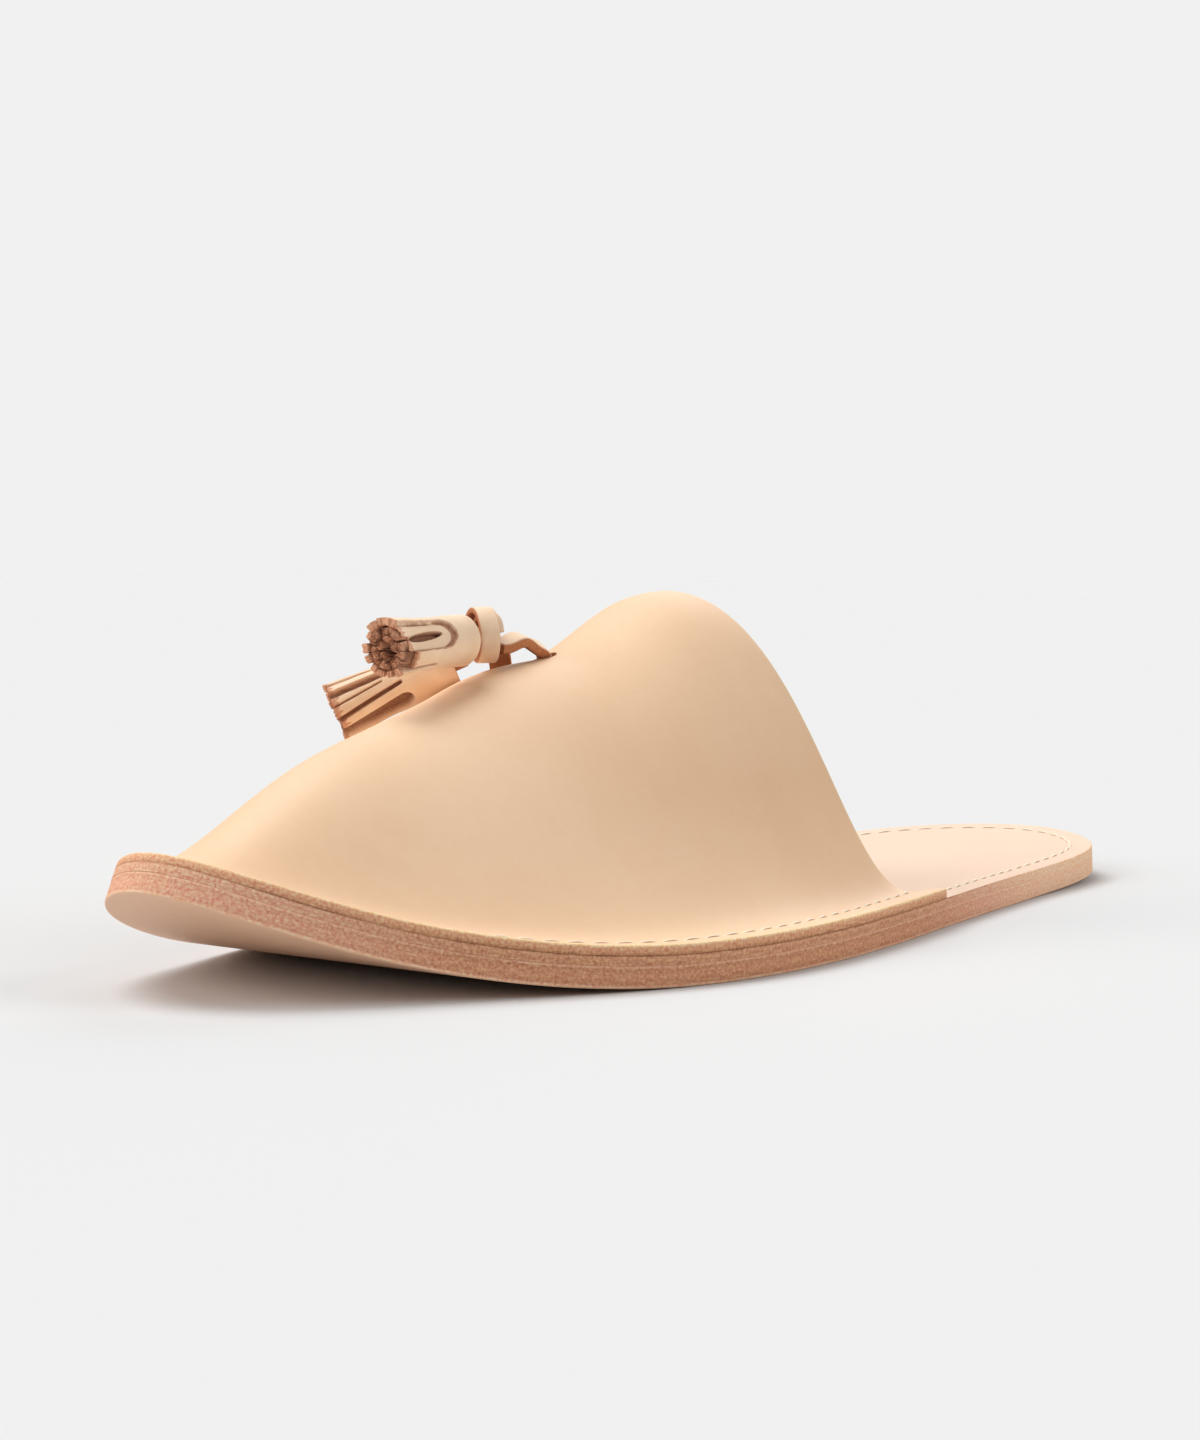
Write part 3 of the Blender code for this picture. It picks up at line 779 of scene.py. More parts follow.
@dataclass
class Upper:
    """Upper: one moulded piece of leather, open at the collar and underneath, with a flange at its foot.

    Across the shoe each section is a flat flange and then one cubic curve with a hollow bend at the foot and
    a round bend at the ridge.
    """

    last: Last
    base: float
    thick: float
    corner: float = 0.5 * MM
    low_corner: float = 0.12 * MM
    flange_width: float = 5.0 * MM
    ridge_at_collar: float = 2.8 * MM
    collar_top: float = 134 * MM
    collar_setback: float = 21.5 * MM
    collar_curve: float = 1.2
    tail_end: float = 104.5 * MM
    hole_radius: float = 2.6 * MM
    hole_station: float = 169 * MM
    hole_x: tuple[float, float] = (6.0 * MM, 15.6 * MM)
    rows: int = 150
    wall_columns: int = 50
    flange_columns: int = 8
    edge_swell: float = 1.04
    edge_pale: float = 0.6
    flange_share: float = 0.45
    punch_depth: float = 9 * MM
    seam_inset: float = 4.9 * MM
    seam_depth: float = 0.14 * MM
    seam_width: float = 0.6 * MM
    dimple: float = 0.35 * MM
    dimple_reach: float = 5 * MM
    wave: float = 0.06 * MM
    sections: tuple[Section, ...] = (
        Section(104 * MM, 59.4 * MM, 0.27, 0.62),
        Section(134 * MM, 59.9 * MM, 0.27, 0.62),
        Section(145 * MM, 58.6 * MM, 0.27, 0.61),
        Section(157 * MM, 53.3 * MM, 0.28, 0.59),
        Section(169 * MM, 48.7 * MM, 0.28, 0.58),
        Section(182 * MM, 47.1 * MM, 0.29, 0.56),
        Section(200 * MM, 42.5 * MM, 0.30, 0.54),
        Section(220 * MM, 36.0 * MM, 0.31, 0.52),
        Section(240 * MM, 27.0 * MM, 0.32, 0.50),
        Section(258 * MM, 13.4 * MM, 0.33, 0.48),
        Section(267 * MM, 5.6 * MM, 0.33, 0.47),
        Section(273 * MM, 1.5 * MM, 0.34, 0.46),
        Section(278 * MM, 0.0 * MM, 0.34, 0.46),
    )
    creases: tuple[Crease, ...] = (
        Crease(-22 * MM, 236 * MM, -14 * MM, 243 * MM, 1.3 * MM, 0.10 * MM),
        Crease(-20 * MM, 231 * MM, -13 * MM, 238 * MM, 1.2 * MM, 0.08 * MM),
        Crease(-38 * MM, 196 * MM, -10 * MM, 206 * MM, 7.0 * MM, 0.35 * MM),
        Crease(14 * MM, 206 * MM, 34 * MM, 198 * MM, 7.0 * MM, 0.35 * MM),
    )

    @cached_property
    def columns(self) -> dict[str, Callable[[Array], Array]]:
        """Smooth curves of the section table's columns."""
        table = np.array(self.sections)
        return {name: spline(table[:, 0], table[:, i]) for i, name in enumerate(Section._fields) if i}

    @cached_property
    def front(self) -> Array:
        """Foremost point of the flange on the plan."""
        loop = self.last.inset(self.corner)
        return loop[loop[:, 1].argmax()]

    def ridge_x(self, along: Array) -> Array:
        """Return the x of the ridge, which runs straight from the collar to the toe end."""
        share = np.clip((along - self.collar_top) / (self.front[1] - self.collar_top), 0, 1)
        return self.ridge_at_collar + (self.front[0] - self.ridge_at_collar) * share

    def spread(self, side: Array, along: Array) -> tuple[Array, Array, Array]:
        """Return ridge, width of the wall's foot and width of the flange at the given stations."""
        lateral, medial = self.last.edges(along, self.corner)
        ridge = self.ridge_x(along)
        half = np.abs(np.where(side < 0, lateral, medial) - ridge)
        flange = np.minimum(self.flange_width, self.flange_share * half)
        return ridge, half - flange, flange

    def inward(self, climb: Array, along: Array) -> Array:
        """Return the share of the wall's half width that is left at a share of the climb."""
        rest = 1 - climb
        foot, top = self.columns["foot"](along), self.columns["top"](along)
        return rest**3 + 3 * rest**2 * climb * (1 - foot) + 3 * rest * climb**2 * top

    def face(self, side: Array, climb: Array, flange: Array, along: Array) -> Array:
        """Return points of the outer face.

        Args:
            side: -1 on the lateral half, 1 on the medial half.
            climb: 0 at the foot of the wall to 1 on the ridge.
            flange: 0 at the edge to 1 at the foot of the wall.
            along: Station along the shoe.

        Returns:
            Points in the shoe's frame.
        """
        ridge, reach, flat = self.spread(side, along)
        x = ridge + side * (reach * self.inward(climb, along) + flat * (1 - flange))
        points = self.last.on_sole(x, along, self.base + self.thick)
        crown = self.columns["crown"](np.minimum(along, self.sections[-1].along))
        points[..., 2] += (3 * (1 - climb) * climb**2 + climb**3) * np.clip(crown, 0, None)
        return points

    def over(self, x: Array, along: Array) -> Array:
        """Return the points of the outer face above plan places, with the climb found by halving."""
        x, along = np.asarray(x, float), np.asarray(along, float)
        side = np.where(x < self.ridge_x(along), -1.0, 1.0)
        ridge, reach, flat = self.spread(side, along)
        out = np.abs(x - ridge)
        low, high = np.zeros_like(out), np.ones_like(out)
        for _ in range(40):
            middle = (low + high) / 2
            short = reach * self.inward(middle, along) > out
            low, high = np.where(short, middle, low), np.where(short, high, middle)
        flange = np.clip((reach + flat - out) / flat, 0, 1)
        return self.face(side, np.where(out < reach, low, 0), flange, along)

    def over_with_normal(self, x: float, along: float) -> tuple[Array, Array]:
        """Return the point of the outer face above a plan place, and the direction square to it."""
        step = 0.5 * MM
        places = self.over(np.array([x, x + step, x - step, x, x]), along + step * np.array([0, 0, 0, 1, -1]))
        across, ahead = places[1] - places[2], places[3] - places[4]
        return places[0], unit(np.cross(across, ahead))

    def grid(self) -> tuple[Array, Array]:
        """Return the outer face as rows from collar to toe, and its normals."""
        climbs = np.linspace(0, 1, self.wall_columns + 1) ** 0.9
        steps = np.concatenate([np.zeros(self.flange_columns), climbs])
        flat = np.linspace(0, 1, self.flange_columns, endpoint=False)
        flanges = np.concatenate([flat, np.ones(len(climbs))])
        foot = self.collar_top - self.collar_setback
        tail = foot - (foot - self.tail_end) * np.clip(1.5 * (1 - flanges), 0, 1)
        collar = self.collar_top - self.collar_setback * (1 - steps) ** self.collar_curve
        start = np.where(flanges < 1, tail, collar)
        side = np.concatenate([-np.ones(len(steps)), np.ones(len(steps) - 1)])
        climb, flange, start = (np.concatenate([half, half[-2::-1]]) for half in (steps, flanges, start))
        shares = np.sin(np.linspace(0, math.pi / 2, self.rows + 1))[:, None]
        along = start * (1 - shares) + self.front[1] * shares
        side, climb, flange, along = np.broadcast_arrays(side, climb, flange, along)
        points = self.face(side, climb, flange, along)
        points[-1] = self.last.on_sole(self.front[0], self.front[1], self.base + self.thick)
        normals = unit(np.cross(np.gradient(points, axis=1), np.gradient(points, axis=0)))
        normals[-1] = self.last.upright(np.array(self.front[1]))
        return points + normals * self.relief(points)[..., None], normals

    def relief(self, points: Array) -> Array:
        """Return low relief along the normals: seam channel, creases, dimples at the holes, slow waves."""
        x, y = points[..., 0], points[..., 1]
        seam = self.last.inset(self.seam_inset)[::4].astype(np.float32)
        flat = points[..., :2].reshape(-1, 2).astype(np.float32)
        apart = np.sqrt(((flat[:, None] - seam[None]) ** 2).sum(axis=-1).min(axis=1)).reshape(x.shape)
        low = 1 - smooth(3 * MM, 6 * MM, points[..., 2] - self.last.rise(y) - self.base - self.thick)
        relief = -self.seam_depth * np.exp(-((apart / self.seam_width) ** 2)) * low
        for crease in self.creases:
            run = np.array([crease.x1 - crease.x0, crease.y1 - crease.y0])
            length = np.linalg.norm(run)
            ahead = ((x - crease.x0) * run[0] + (y - crease.y0) * run[1]) / length
            off = ((x - crease.x0) * run[1] - (y - crease.y0) * run[0]) / length
            fade = np.exp(-((np.maximum(np.abs(ahead - length / 2) - length / 4, 0) / (length / 3)) ** 2))
            trough = np.exp(-((off / crease.width) ** 2))
            ridge = np.exp(-(((off - 2.2 * crease.width) / crease.width) ** 2))
            relief = relief - crease.depth * fade * (trough - 0.6 * ridge)
        for hole in self.hole_x:
            near = np.hypot(x - hole, y - self.hole_station)
            relief = relief - self.dimple * np.exp(-((near / self.dimple_reach) ** 2))
        slow = np.sin(x / (13 * MM) + 1.1) * np.sin(y / (17 * MM))
        quick = np.sin(x / (7 * MM) + y / (9 * MM))
        above = smooth(2 * MM, 12 * MM, points[..., 2] - self.base)
        return relief + self.wave * (slow + 0.6 * quick) * above

    def skin(self) -> Skin:
        """Return the closed shell: outer face, inner face and the rounded cut edge between them."""
        outer, normals = self.grid()
        inner = outer - self.thick * normals
        rows, columns = outer.shape[:2]
        quads = grid_quads(rows, columns)
        number = np.arange(rows * columns).reshape(rows, columns)
        border = np.concatenate([number[0], number[1:, -1], number[-2:0:-1, 0]])
        spots, square = outer.reshape(-1, 3)[border], normals.reshape(-1, 3)[border]
        ahead = np.roll(spots, -1, axis=0) - np.roll(spots, 1, axis=0)
        outward = unit(np.cross(ahead, square))
        turns = np.radians([30, 60, 90])
        low = self.corner - self.low_corner * (1 - np.sin(turns[::-1]))
        out = np.concatenate([self.corner * np.sin(turns), [self.corner * self.edge_swell], low])
        rounded = 1 - np.cos(turns)
        floor = self.thick - self.low_corner * rounded[::-1]
        down = np.concatenate([self.corner * rounded, [self.thick / 2], floor])
        edge = spots + out[:, None, None] * outward - down[:, None, None] * square
        count = rows * columns
        around = len(border)
        between = 2 * count + np.arange(len(out) * around).reshape(-1, around)
        strips = np.concatenate([border[None], between, count + border[None]])
        strip_quads = strips.ravel()[grid_quads(len(strips), around, wrap=True)]
        depth = np.concatenate([[0], down, [self.thick]]) / self.thick
        reach = reach_along(spots, closed=True)
        edge_grid = np.stack(np.meshgrid(1 - depth, reach, indexing="ij")[::-1], axis=-1)
        edge_uv = corner_values(edge_grid, len(strips), around)
        plain = np.zeros((8 * len(quads), 2))
        zones = np.repeat([zone.value for zone in Zone], [len(quads), len(quads), len(strip_quads)])
        points = np.concatenate([outer.reshape(-1, 3), inner.reshape(-1, 3), edge.reshape(-1, 3)])
        return Skin(
            "upper_leather",
            points,
            np.concatenate([quads, count + quads[:, ::-1], strip_quads]),
            zones,
            np.concatenate([plain, edge_uv]),
            {"pale": self.edge_pale * paleness(points[:, 1])},
        )

    def punch(self, piece: bpy.types.Object, edge: bpy.types.Material) -> None:
        """Cut the two lace holes through the upper, square to its face.

        Args:
            piece: The upper.
            edge: Material of the holes' walls.
        """
        punches = []
        for number, x in enumerate(self.hole_x):
            spot, normal = self.over_with_normal(x, self.hole_station)
            turn = Vector(normal).to_track_quat("Z", "Y").to_matrix().to_4x4()
            stand = Matrix.Translation(Vector(spot - self.last.centre)) @ turn
            work = bmesh.new()
            bmesh.ops.create_cone(
                work,
                cap_ends=True,
                segments=48,
                radius1=self.hole_radius,
                radius2=self.hole_radius,
                depth=self.punch_depth,
                matrix=stand,
            )
            mesh = bpy.data.meshes.new(f"punch_{number}")
            work.to_mesh(mesh)
            work.free()
            mesh.materials.append(edge)
            punch = linked(mesh.name, mesh)
            cut = piece.modifiers.new(punch.name, "BOOLEAN")
            cut.operation = "DIFFERENCE"
            cut.material_mode = "TRANSFER"
            cut.object = punch
            punches.append(punch)
        ready = piece.evaluated_get(bpy.context.evaluated_depsgraph_get())
        holed = bpy.data.meshes.new_from_object(ready)
        piece.modifiers.clear()
        piece.data = holed
        for punch in punches:
            bpy.data.objects.remove(punch, do_unlink=True)


@dataclass
class Seam:
    """Row of stitches round the sole, on the flange in front and on the insole behind.

    Each stitch is a short bow of thread: its middle stands over the leather and its ends dip into it.
    """

    last: Last
    upper: Upper
    insole_top: float
    inset: float = 4.9 * MM
    pitch: float = 5.0 * MM
    share: float = 0.9
    radius: float = 0.34 * MM
    lift: float = 0.12 * MM
    dip: float = 0.36 * MM
    slant: float = 0.3 * MM
    start: float = 0.08
    flatness: float = 0.5
    steps: int = 11
    sides: int = 10

    def skin(self) -> Skin:
        """Return all stitches as one mesh of closed bows."""
        loop = self.last.inset(self.inset)
        reach = reach_along(loop, closed=True)
        count = int(round(reach[-1] / self.pitch))
        share = np.linspace(0, 1, self.steps)
        place = (np.arange(count)[:, None] + self.start + self.share * share) * reach[-1] / count
        closed = np.vstack([loop, loop[:1]])
        x, along = (np.interp(place, reach, closed[:, axis]) for axis in range(2))
        sideways = unit(np.stack([-np.gradient(along, axis=1), np.gradient(x, axis=1)], axis=-1))
        aside = sideways * (self.slant * (share - 0.5))[:, None]
        x, along = x + aside[..., 0], along + aside[..., 1]
        on_insole = self.last.on_sole(x, along, self.insole_top)
        on_upper = self.upper.over(x, np.maximum(along, self.upper.tail_end))
        foot = self.upper.collar_top - self.upper.collar_setback
        front = smooth(foot - 0.5 * MM, foot + 0.5 * MM, along)[..., None]
        square = self.last.upright(along)
        bow = (self.lift + self.dip) * np.sin(math.pi * share) ** 0.55 - self.dip
        middle = on_insole * (1 - front) + on_upper * front + bow[:, None] * square
        run = unit(np.gradient(middle, axis=1))
        beside = unit(np.cross(run, square))
        over = np.cross(beside, run)
        turn = np.linspace(0, 2 * math.pi, self.sides, endpoint=False)
        thick = self.radius * np.clip(np.sin(math.pi * share), 0, 1) ** 0.3
        wide, tall = np.cos(turn)[:, None], self.flatness * np.sin(turn)[:, None]
        ring = wide * beside[:, :, None] + tall * over[:, :, None]
        points = middle[:, :, None] + thick[:, None, None] * ring
        quads = grid_quads(self.steps, self.sides, wrap=True)
        each = self.steps * self.sides
        faces = (quads[None] + each * np.arange(count)[:, None, None]).reshape(-1, 4)
        grid = np.stack(np.meshgrid(share, np.linspace(0, 1, self.sides + 1), indexing="ij"), axis=-1)
        uv = np.tile(corner_values(grid * [6, 3], self.steps, self.sides), (count, 1))
        return Skin("seam_stitches", points.reshape(-1, 3), faces, uv=uv)


@dataclass
class Strip:
    """Flat strip of leather carried along a path, grain side out, with brown edges and inner side.

    The section is a rectangle with round corners; the path gives its middle, and two directions across it.
    """

    name: str
    width: float
    thick: float
    corner: float = 0.35 * MM

    def section(self) -> tuple[Array, Array, Array]:
        """Return the section's points (across, out), how raw each is and how dark."""
        turns = np.radians([0, 30, 60, 90])
        round_x, round_y = self.corner * np.cos(turns), self.corner * np.sin(turns)
        wide, tall = self.width / 2 - self.corner, self.thick / 2 - self.corner
        quarter = np.c_[wide + round_x, tall + round_y]
        top = np.c_[np.linspace(wide, -wide, 7)[1:-1], np.full(5, self.thick / 2)]
        half = np.vstack([quarter, top, quarter[::-1] * [-1, 1]])
        raw = np.concatenate([[1, 0.7, 0.15, 0], np.zeros(5), [0, 0.15, 0.7, 1]])
        inner = np.concatenate([[0], np.full(len(raw) - 2, 0.55), [0]])
        dark = np.concatenate([0 * inner, inner])
        return np.vstack([half, -half]), np.concatenate([raw, np.ones(len(raw))]), dark

    def skin(self, path: Array, across: Array, out: Array) -> Skin:
        """Return the strip's mesh.

        Args:
            path: Middle of the strip.
            across: Direction of its width at each point.
            out: Direction its grain side faces at each point.

        Returns:
            The closed mesh, with the values cut and deep.
        """
        section, raw, dark = self.section()
        rings = path[:, None] + section[:, :1] * across[:, None] + section[:, 1:] * out[:, None]
        ends = np.repeat(path[[0, -1], None], len(section), axis=1)
        points = np.concatenate([ends[:1], rings, ends[1:]])
        cap = np.ones((1, len(raw)))
        raw = np.concatenate([cap, np.tile(raw, (len(path), 1)), cap])
        dark = np.tile(dark, (len(points), 1))
        faces = grid_quads(len(points), len(section), wrap=True)
        return Skin(self.name, points.reshape(-1, 3), faces, values={"cut": raw, "deep": dark})


def carried(path: Array, start: Array) -> tuple[Array, Array]:
    """Return directions across and out of a path, carried along it without twisting.

    Args:
        path: Points of the path.
        start: Direction across at its start.

    Returns:
        Directions across the path and out of it, one of each for each point.
    """
    ahead = unit(np.gradient(path, axis=0))
    across = []
    wide = start
    for direction in ahead:
        wide = unit(wide - direction * wide.dot(direction))
        across.append(wide)
    across = np.array(across)
    return across, np.cross(ahead, across)


@dataclass
class Lace:
    """Lace: a flat strip from the knot over the vamp, down one hole and up the other, and back."""

    upper: Upper
    knot: Array
    knot_length: float = 5.4 * MM
    width: float = 4.4 * MM
    thick: float = 2.1 * MM
    lean: tuple[float, ...] = (8.0, 12.0, 36.0, 20.0, 10.0)
    lean_at: tuple[float, ...] = (0.0, 0.1, 0.28, 0.6, 1.0)
    gap: float = 0.3 * MM
    from_knot: tuple[float, float] = (-3.2 * MM, 2.4 * MM)
    drop: tuple[float, float] = (0.0 * MM, 1.8 * MM)
    behind: tuple[float, ...] = (-2.2 * MM, 0.0 * MM, 1.4 * MM, 5.4 * MM, 9.6 * MM)
    lift: tuple[float, ...] = (-2.3 * MM, -2.2 * MM, -1.9 * MM, -1.2 * MM, -2.7 * MM)
    sideways: tuple[float, ...] = (0.0, 0.0, 0.0, 0.4, 0.78)
    dive: tuple[float, ...] = (0.3 * MM, -1.4 * MM, -3.4 * MM)
    sag: float = 2.2 * MM
    points: int = 120

    def path(self) -> Array:
        """Return the middle line of the strip: a smooth curve through the route's points."""
        rear = self.knot[1] - self.knot_length / 2 - self.gap
        halves = []
        for offset, drop, hole in zip(self.from_knot, self.drop, self.upper.hole_x):
            start = self.knot[0] + offset
            spot, normal = self.upper.over_with_normal(hole, self.upper.hole_station)
            x = start + (hole - start) * np.array(self.sideways)
            arch = np.c_[x, rear - np.array(self.behind), self.knot[2] + np.array(self.lift) - drop]
            halves.append(np.vstack([arch, spot + np.array(self.dive)[:, None] * normal]))
        middle = (halves[0][-1] + halves[1][-1]) / 2 - [0, 0, self.sag]
        route = np.vstack([halves[0], middle, halves[1][::-1]])
        knots = reach_along(route)
        return spline(knots, route)(np.linspace(0, knots[-1], self.points))

    def skin(self) -> tuple[Skin, Array]:
        """Return the lace's mesh and its middle line."""
        path = self.path()
        across, out = carried(path, np.array([1.0, 0, 0]))
        out = out * np.sign(out[0, 2])
        share = np.linspace(0, 1, len(path))
        lean = np.radians(np.interp(share, self.lean_at, self.lean))[:, None]
        turned = np.cos(lean) * across + np.sin(lean) * out, np.cos(lean) * out - np.sin(lean) * across
        return Strip("lace_strip", self.width, self.thick).skin(path, *turned), path


@dataclass
class Knot:
    """Knot: the strip wound one and a half times round the two ends, its inner turn showing behind the outer.

    The path is a slanted oval spiral round an axis that lies level, and its radius grows by a layer a turn.
    """

    centre: Array
    axis_turn: float = 58.0
    half_width: float = 4.1 * MM
    half_height: float = 4.5 * MM
    width: float = 4.0 * MM
    thick: float = 1.3 * MM
    start_turn: float = 75.0
    end_turn: float = -440.0
    spread: float = 1.8 * MM
    growth: float = 1.9 * MM
    points: int = 200

    def skin(self) -> Skin:
        """Return the knot's mesh."""
        turn = math.radians(self.axis_turn)
        axis = np.array([math.cos(turn), math.sin(turn), 0.0])
        side = np.array([-axis[1], axis[0], 0.0])
        up = np.array([0, 0, 1.0])
        share = np.linspace(0, 1, self.points)
        angle = np.radians(self.start_turn + (self.end_turn - self.start_turn) * share)
        grown = self.growth * (share - 0.5)
        slide = self.spread * (share - 0.5)
        path = self.centre + (np.sin(angle) * (self.half_width + grown))[:, None] * side
        path = path + (np.cos(angle) * (self.half_height + grown))[:, None] * up + slide[:, None] * axis
        ahead = unit(np.gradient(path, axis=0))
        across = unit(axis - ahead * (ahead @ axis)[:, None])
        out = np.cross(ahead, across)
        facing = np.sign((out * (path - self.centre)).sum(axis=1).mean())
        return Strip("lace_knot_wrap", self.width, self.thick).skin(path, across, facing * out)


@dataclass
class Tassel:
    """Tassel: leather cut into strips and rolled up, closed to a neck behind and ragged in front.

    One skin runs from the neck over the head, along the strips, round their ends and into the hollow core.
    Its radius is the roll's, less the depth of every slot at that place.  The head is given from the knot's
    front.
    """

    name: str
    node: str
    head: tuple[float, float, float]
    aim: tuple[float, float, float]
    slots: tuple[Slot, ...]
    length: float
    neck: float
    seed: int
    radius: float = 5.0 * MM
    flare: float = 0.6 * MM
    plain: float = 8.5 * MM
    rim: float = 0.25 * MM
    neck_radius: float = 2.0 * MM
    wall: float = 0.13 * MM
    crescent: float = 1.9 * MM
    outer_layer: float = 1.3 * MM
    lump_rings: tuple[tuple[int, float], ...] = ((7, 0.8), (5, 0.45))
    lump_stretch: float = 0.55
    core: float = 1.15 * MM
    core_depth: float = 4.5 * MM
    core_off: tuple[float, float] = (-0.5 * MM, 0.3 * MM)
    groove: float = 1.2 * MM
    groove_width: float = 0.26 * MM
    # Painted shade in the cuts: over a window's shown floor, and in other slots darker with their depth, up
    # to slot_shade at the depth darkest_at.
    window_shade: float = 0.4
    slot_shade: float = 0.62
    darkest_at: float = 2.6 * MM
    slot_end: float = 0.6 * MM
    fray: float = 0.18 * MM
    lift: float = 0.4 * MM
    uneven: float = 1.0 * MM
    around: int = 360
    rows: int = 120
    end_rows: int = 60

    def waves(self, angle: Array, place: Array, count: int, fine: float) -> Array:
        """Return smooth noise from about -1 to 1 that closes round the tassel: a sum of cosines."""
        rng = np.random.default_rng(self.seed + count)
        turns = rng.integers(2, int(fine), count)
        speeds = rng.uniform(-fine, fine, count)
        phases = rng.uniform(0, 2 * math.pi, count)
        terms = [np.cos(n * angle + k * place + p) for n, k, p in zip(turns, speeds, phases)]
        return np.sum(terms, axis=0) / math.sqrt(count)

    def cuts(self, angle: Array, along: Array) -> tuple[Array, Array, Array]:
        """Return the depth of the slots, how raw the leather is and how dark its painted shade is, over the
        rolled side.

        An open slot is the set of places nearer than half its width to its middle line, which starts half a
        width in front of its rounded end.  A slit narrows to both ends like an ellipse.  A window shows raw
        leather in a crescent at its start and is smooth further on.
        """
        depth = np.zeros(np.broadcast(angle, along).shape)
        raw, dark = np.zeros_like(depth), np.zeros_like(depth)
        for slot in self.slots:
            ahead = along - slot.start
            half = slot.width / 2
            middle = np.radians(slot.turn + slot.lean * ahead / (self.length - slot.start))
            off = self.radius * np.angle(np.exp(1j * (angle - middle)))
            if slot.cut is Cut.SLIT:
                place = np.clip(2 * ahead / (slot.stop - slot.start) - 1, -1, 1)
                apart = np.abs(off) - half * np.sqrt(1 - place**2) + 2 * self.wall * (np.abs(place) >= 1)
            else:
                ragged = 0.1 * MM * self.waves(angle, along / (1.5 * MM), 12, 9) * (slot.cut is Cut.WINDOW)
                apart = np.hypot(off, np.minimum(ahead - half, 0)) - half + ragged
            inside = 1 - smooth(-self.wall, self.wall, apart)
            depth = np.maximum(depth, slot.depth * inside)
            shown = inside
            if slot.cut is Cut.WINDOW:
                reach = np.where(off < 0, 2.6, 2.0) * self.crescent
                wide = self.crescent * np.clip(1 - ahead / reach, 0, 1)
                wall = 4 * inside * (1 - inside) * smooth(-0.2 * half, 0.2 * half, off)
                shown = np.maximum(wall, inside * (apart > -wide))
                raw = raw * (1 - inside)
                # Painted shade over the window's shown floor and walls.
                dark = np.maximum(dark * (1 - inside), self.window_shade * shown)
            else:
                # Painted shade in the slot, darker the deeper it is.
                dark = np.maximum(dark, inside * min(slot.depth / self.darkest_at, self.slot_shade))
            raw = np.maximum(raw, np.clip(1.6 * shown, 0, 1))
        return depth, raw, dark

    def rear(self) -> Array:
        """Return rows of place, radius and rawness from the neck's end to the head's rear rim."""
        neck, rim, full = self.neck_radius, self.rim, self.radius
        return np.array(
            [
                [-self.neck, 0.02 * MM, 1],
                [-self.neck, neck, 1],
                [0.6 * MM, neck, 1],
                [0.6 * MM, full - 1.3 * MM, 1],
                [0, full - 1.1 * MM, 1],
                [0, full - rim, 0.8],
                [0.3 * rim, full - 0.3 * rim, 0.35],
            ]
        )

    def lumps(self) -> Array:
        """Return the ends of the inner layers: rows of two places across the roll, height and shade."""
        rng = np.random.default_rng(self.seed)
        inner = self.radius + self.flare - self.outer_layer
        rows = []
        for count, share in self.lump_rings:
            place = np.arange(count) + rng.uniform(-0.25, 0.25, count)
            turn = place * 2 * math.pi / count + rng.uniform(0, 6)
            reach = inner * share * rng.uniform(0.9, 1.1, count)
            height, shade = rng.uniform(-0.9, 0.5, count) * MM, rng.uniform(0, 0.25, count)
            rows.append(np.c_[reach * np.cos(turn), reach * np.sin(turn), height, shade])
        return np.vstack(rows)

    def end(self, angle: Array, tip: Array, side: Array) -> tuple[Array, Array, Array]:
        """Return place, radius and depth of shade over the ragged end, from its rim to the hollow core.

        Each place belongs to the nearest lump, with distances round the roll counted short, and a groove runs
        where two lumps are equally near.

        Args:
            angle: Angle round the tassel.
            tip: Place of each strip's end.
            side: Radius at each strip's end.

        Returns:
            Three grids of rows inwards by places round.
        """
        inward = np.linspace(0, 1, self.end_rows)[1:, None]
        radius = side * (1 - inward) + 0.02 * MM * inward
        inner = self.radius + self.flare - self.outer_layer
        within = smooth(-0.1 * MM, 0.1 * MM, inner - radius)
        bent = radius + 0.3 * MM * self.waves(angle, 4 * inward, 16, 12)
        places = np.stack([bent * np.cos(angle), bent * np.sin(angle)], axis=-1)
        lumps = self.lumps()
        gaps = places[:, :, None] - lumps[:, :2]
        outwards = unit(places)[:, :, None]
        across = (gaps * outwards).sum(axis=-1)
        beside = np.linalg.norm(gaps - across[..., None] * outwards, axis=-1)
        apart = np.hypot(across, self.lump_stretch * beside)
        near = np.sort(apart, axis=-1)
        own = lumps[apart.argmin(axis=-1)]
        groove = np.exp(-(((near[..., 1] - near[..., 0]) / self.groove_width) ** 2))
        broken = np.clip(0.6 + 0.6 * self.waves(angle, np.zeros_like(angle), 10, 9), 0.1, 1)
        ring = broken * np.exp(-(((inner - radius - 0.1 * MM) / (0.22 * MM)) ** 2))
        gap = np.clip(np.maximum(groove * within, ring), 0, 1)
        middle = np.linalg.norm(places - self.core_off, axis=-1)
        hollow = 1 - smooth(0.5 * self.core, 1.4 * self.core, middle)
        rough = 0.16 * MM * self.waves(angle, 9 * inward, 22, 40)
        face = self.length - 0.5 * MM + own[..., 2] * within + rough - 0.12 * near[..., 0] ** 2 / MM
        place = tip * (1 - within) + face * within - self.groove * gap - self.core_depth * hollow
        # Painted shade in the grooves between lumps, in the broken ring round the inner layers and in the
        # hollow core, with a random darker tone for each lump.
        shade = np.maximum(np.maximum(0.7 * gap, hollow), own[..., 3] * within)
        return place, radius, np.clip(shade, 0, 1)

